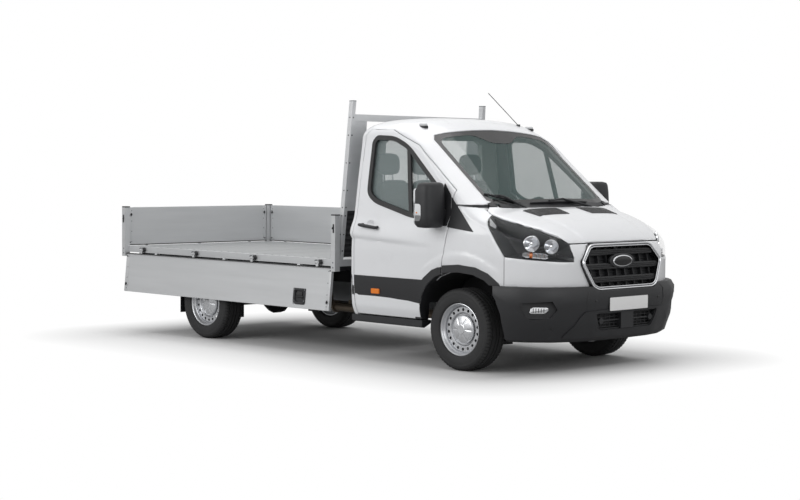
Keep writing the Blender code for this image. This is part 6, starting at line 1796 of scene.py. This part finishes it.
def floor():
    """A floor that keeps the rendered shadow near the truck, greyed there as a painted shade round it, and is
    plain white far from it.
    """
    mesh = bpy.data.meshes.new("floor")
    corners = rectangle(FLOOR_SIZE / 2, FLOOR_SIZE / 2)
    mesh.from_pydata([(x, y, 0) for x, y in corners], [], [(0, 1, 2, 3)])
    material = bpy.data.materials.new("floor_white")
    material.use_nodes = True
    tree = material.node_tree
    shader = tree.nodes["Principled BSDF"]
    shader.inputs["Roughness"].default_value = 0.9
    shader.inputs["Specular IOR Level"].default_value = 0.0
    seen = add_node(tree, "ShaderNodeLightPath").outputs["Is Camera Ray"]
    # For the camera the floor near the truck is grey rather than white: painted shade round the truck over
    # its rendered shadow
    tint = blend_colours(tree, seen, shade((FLOOR_BOUNCE,) * 3, 1), shade((FLOOR_COLOUR,) * 3, 1))
    tree.links.new(tint, shader.inputs["Base Color"])
    place = add_node(tree, "ShaderNodeTexCoord").outputs["Object"]
    place = vector_maths(tree, "ABSOLUTE", place)[0]
    place = vector_maths(tree, "SUBTRACT", place, SHADED_HALF)[0]
    place = vector_maths(tree, "MAXIMUM", place, (0, 0, 0))[0]
    far = spread(tree, vector_maths(tree, "LENGTH", place)["Value"], PLAIN_FROM, PLAIN_TO)
    share = add_node(tree, "ShaderNodeMath", {0: far, 1: seen}, operation="MULTIPLY").outputs[0]
    plain = add_node(tree, "ShaderNodeEmission", {"Color": (1, 1, 1, 1), "Strength": 1.0}).outputs[0]
    mixed = add_node(tree, "ShaderNodeMixShader", {0: share, 1: shader.outputs[0], 2: plain})
    tree.links.new(mixed.outputs[0], tree.nodes["Material Output"].inputs["Surface"])
    mesh.materials.append(material)
    put("floor", mesh)


WORLD_LEVEL = 0.48
MIRRORED_LEVEL = 0.80


def world():
    """White behind the truck, a softer white in its reflections and a softer one still as light."""
    data = bpy.data.worlds.new("studio")
    data.use_nodes = True
    tree = data.node_tree
    path = add_node(tree, "ShaderNodeLightPath").outputs
    seen = add_node(tree, "ShaderNodeMath", {0: path["Is Camera Ray"], 1: path["Is Transmission Ray"]},
                    operation="MAXIMUM").outputs[0]
    mirrored = spread(tree, path["Is Glossy Ray"], 0.0, 1.0, WORLD_LEVEL, MIRRORED_LEVEL)
    strength = add_node(tree, "ShaderNodeMix", {0: seen, 2: mirrored, 3: 1.0}, data_type="FLOAT").outputs[0]
    tree.links.new(strength, tree.nodes["Background"].inputs["Strength"])
    tree.nodes["Background"].inputs["Color"].default_value = (1.0, 1.0, 1.0, 1.0)
    bpy.context.scene.world = data


# Name, place, target, width, height, watts
LAMPS = [
    ("top_light", (0.0, 0.5, 6.5), (0.0, 0.0, 0.8), 8.0, 5.0, 215.0),
    ("side_light", (-1.0, -8.0, 4.0), (0.0, 0.0, 1.0), 7.0, 3.5, 245.0),
    ("front_light", (8.5, -2.0, 3.5), (0.0, 0.0, 1.0), 5.0, 3.0, 95.0),
]


def lamps():
    for name, place, target, width, height, watts in LAMPS:
        data = bpy.data.lights.new(name, "AREA")
        data.shape = "RECTANGLE"
        data.size = width
        data.size_y = height
        data.energy = watts
        obj = put(name, data)
        obj.location = place
        obj.rotation_euler = (Vector(target) - Vector(place)).to_track_quat("-Z", "Y").to_euler()


body_skins()
wheels()
for side, label in SIDES:
    for details in (side_layers, door_handles, side_markers, mirrors, headlamps, fog_lamps):
        details(side, label)
    board_handle(label)
for label in ("left", "right", "tail"):
    board_details(label)
for details in (roof_lamps, screen_band, wipers, grille_details, bumper_details, bonnet_vents, roof_seams,
                posts, rail_hooks, headboard_details, floor_ribs, rear_lamps, seats, steering, dash_details,
                camera, floor, world, lamps):
    details()
bpy.context.scene.view_settings.view_transform = "Standard"
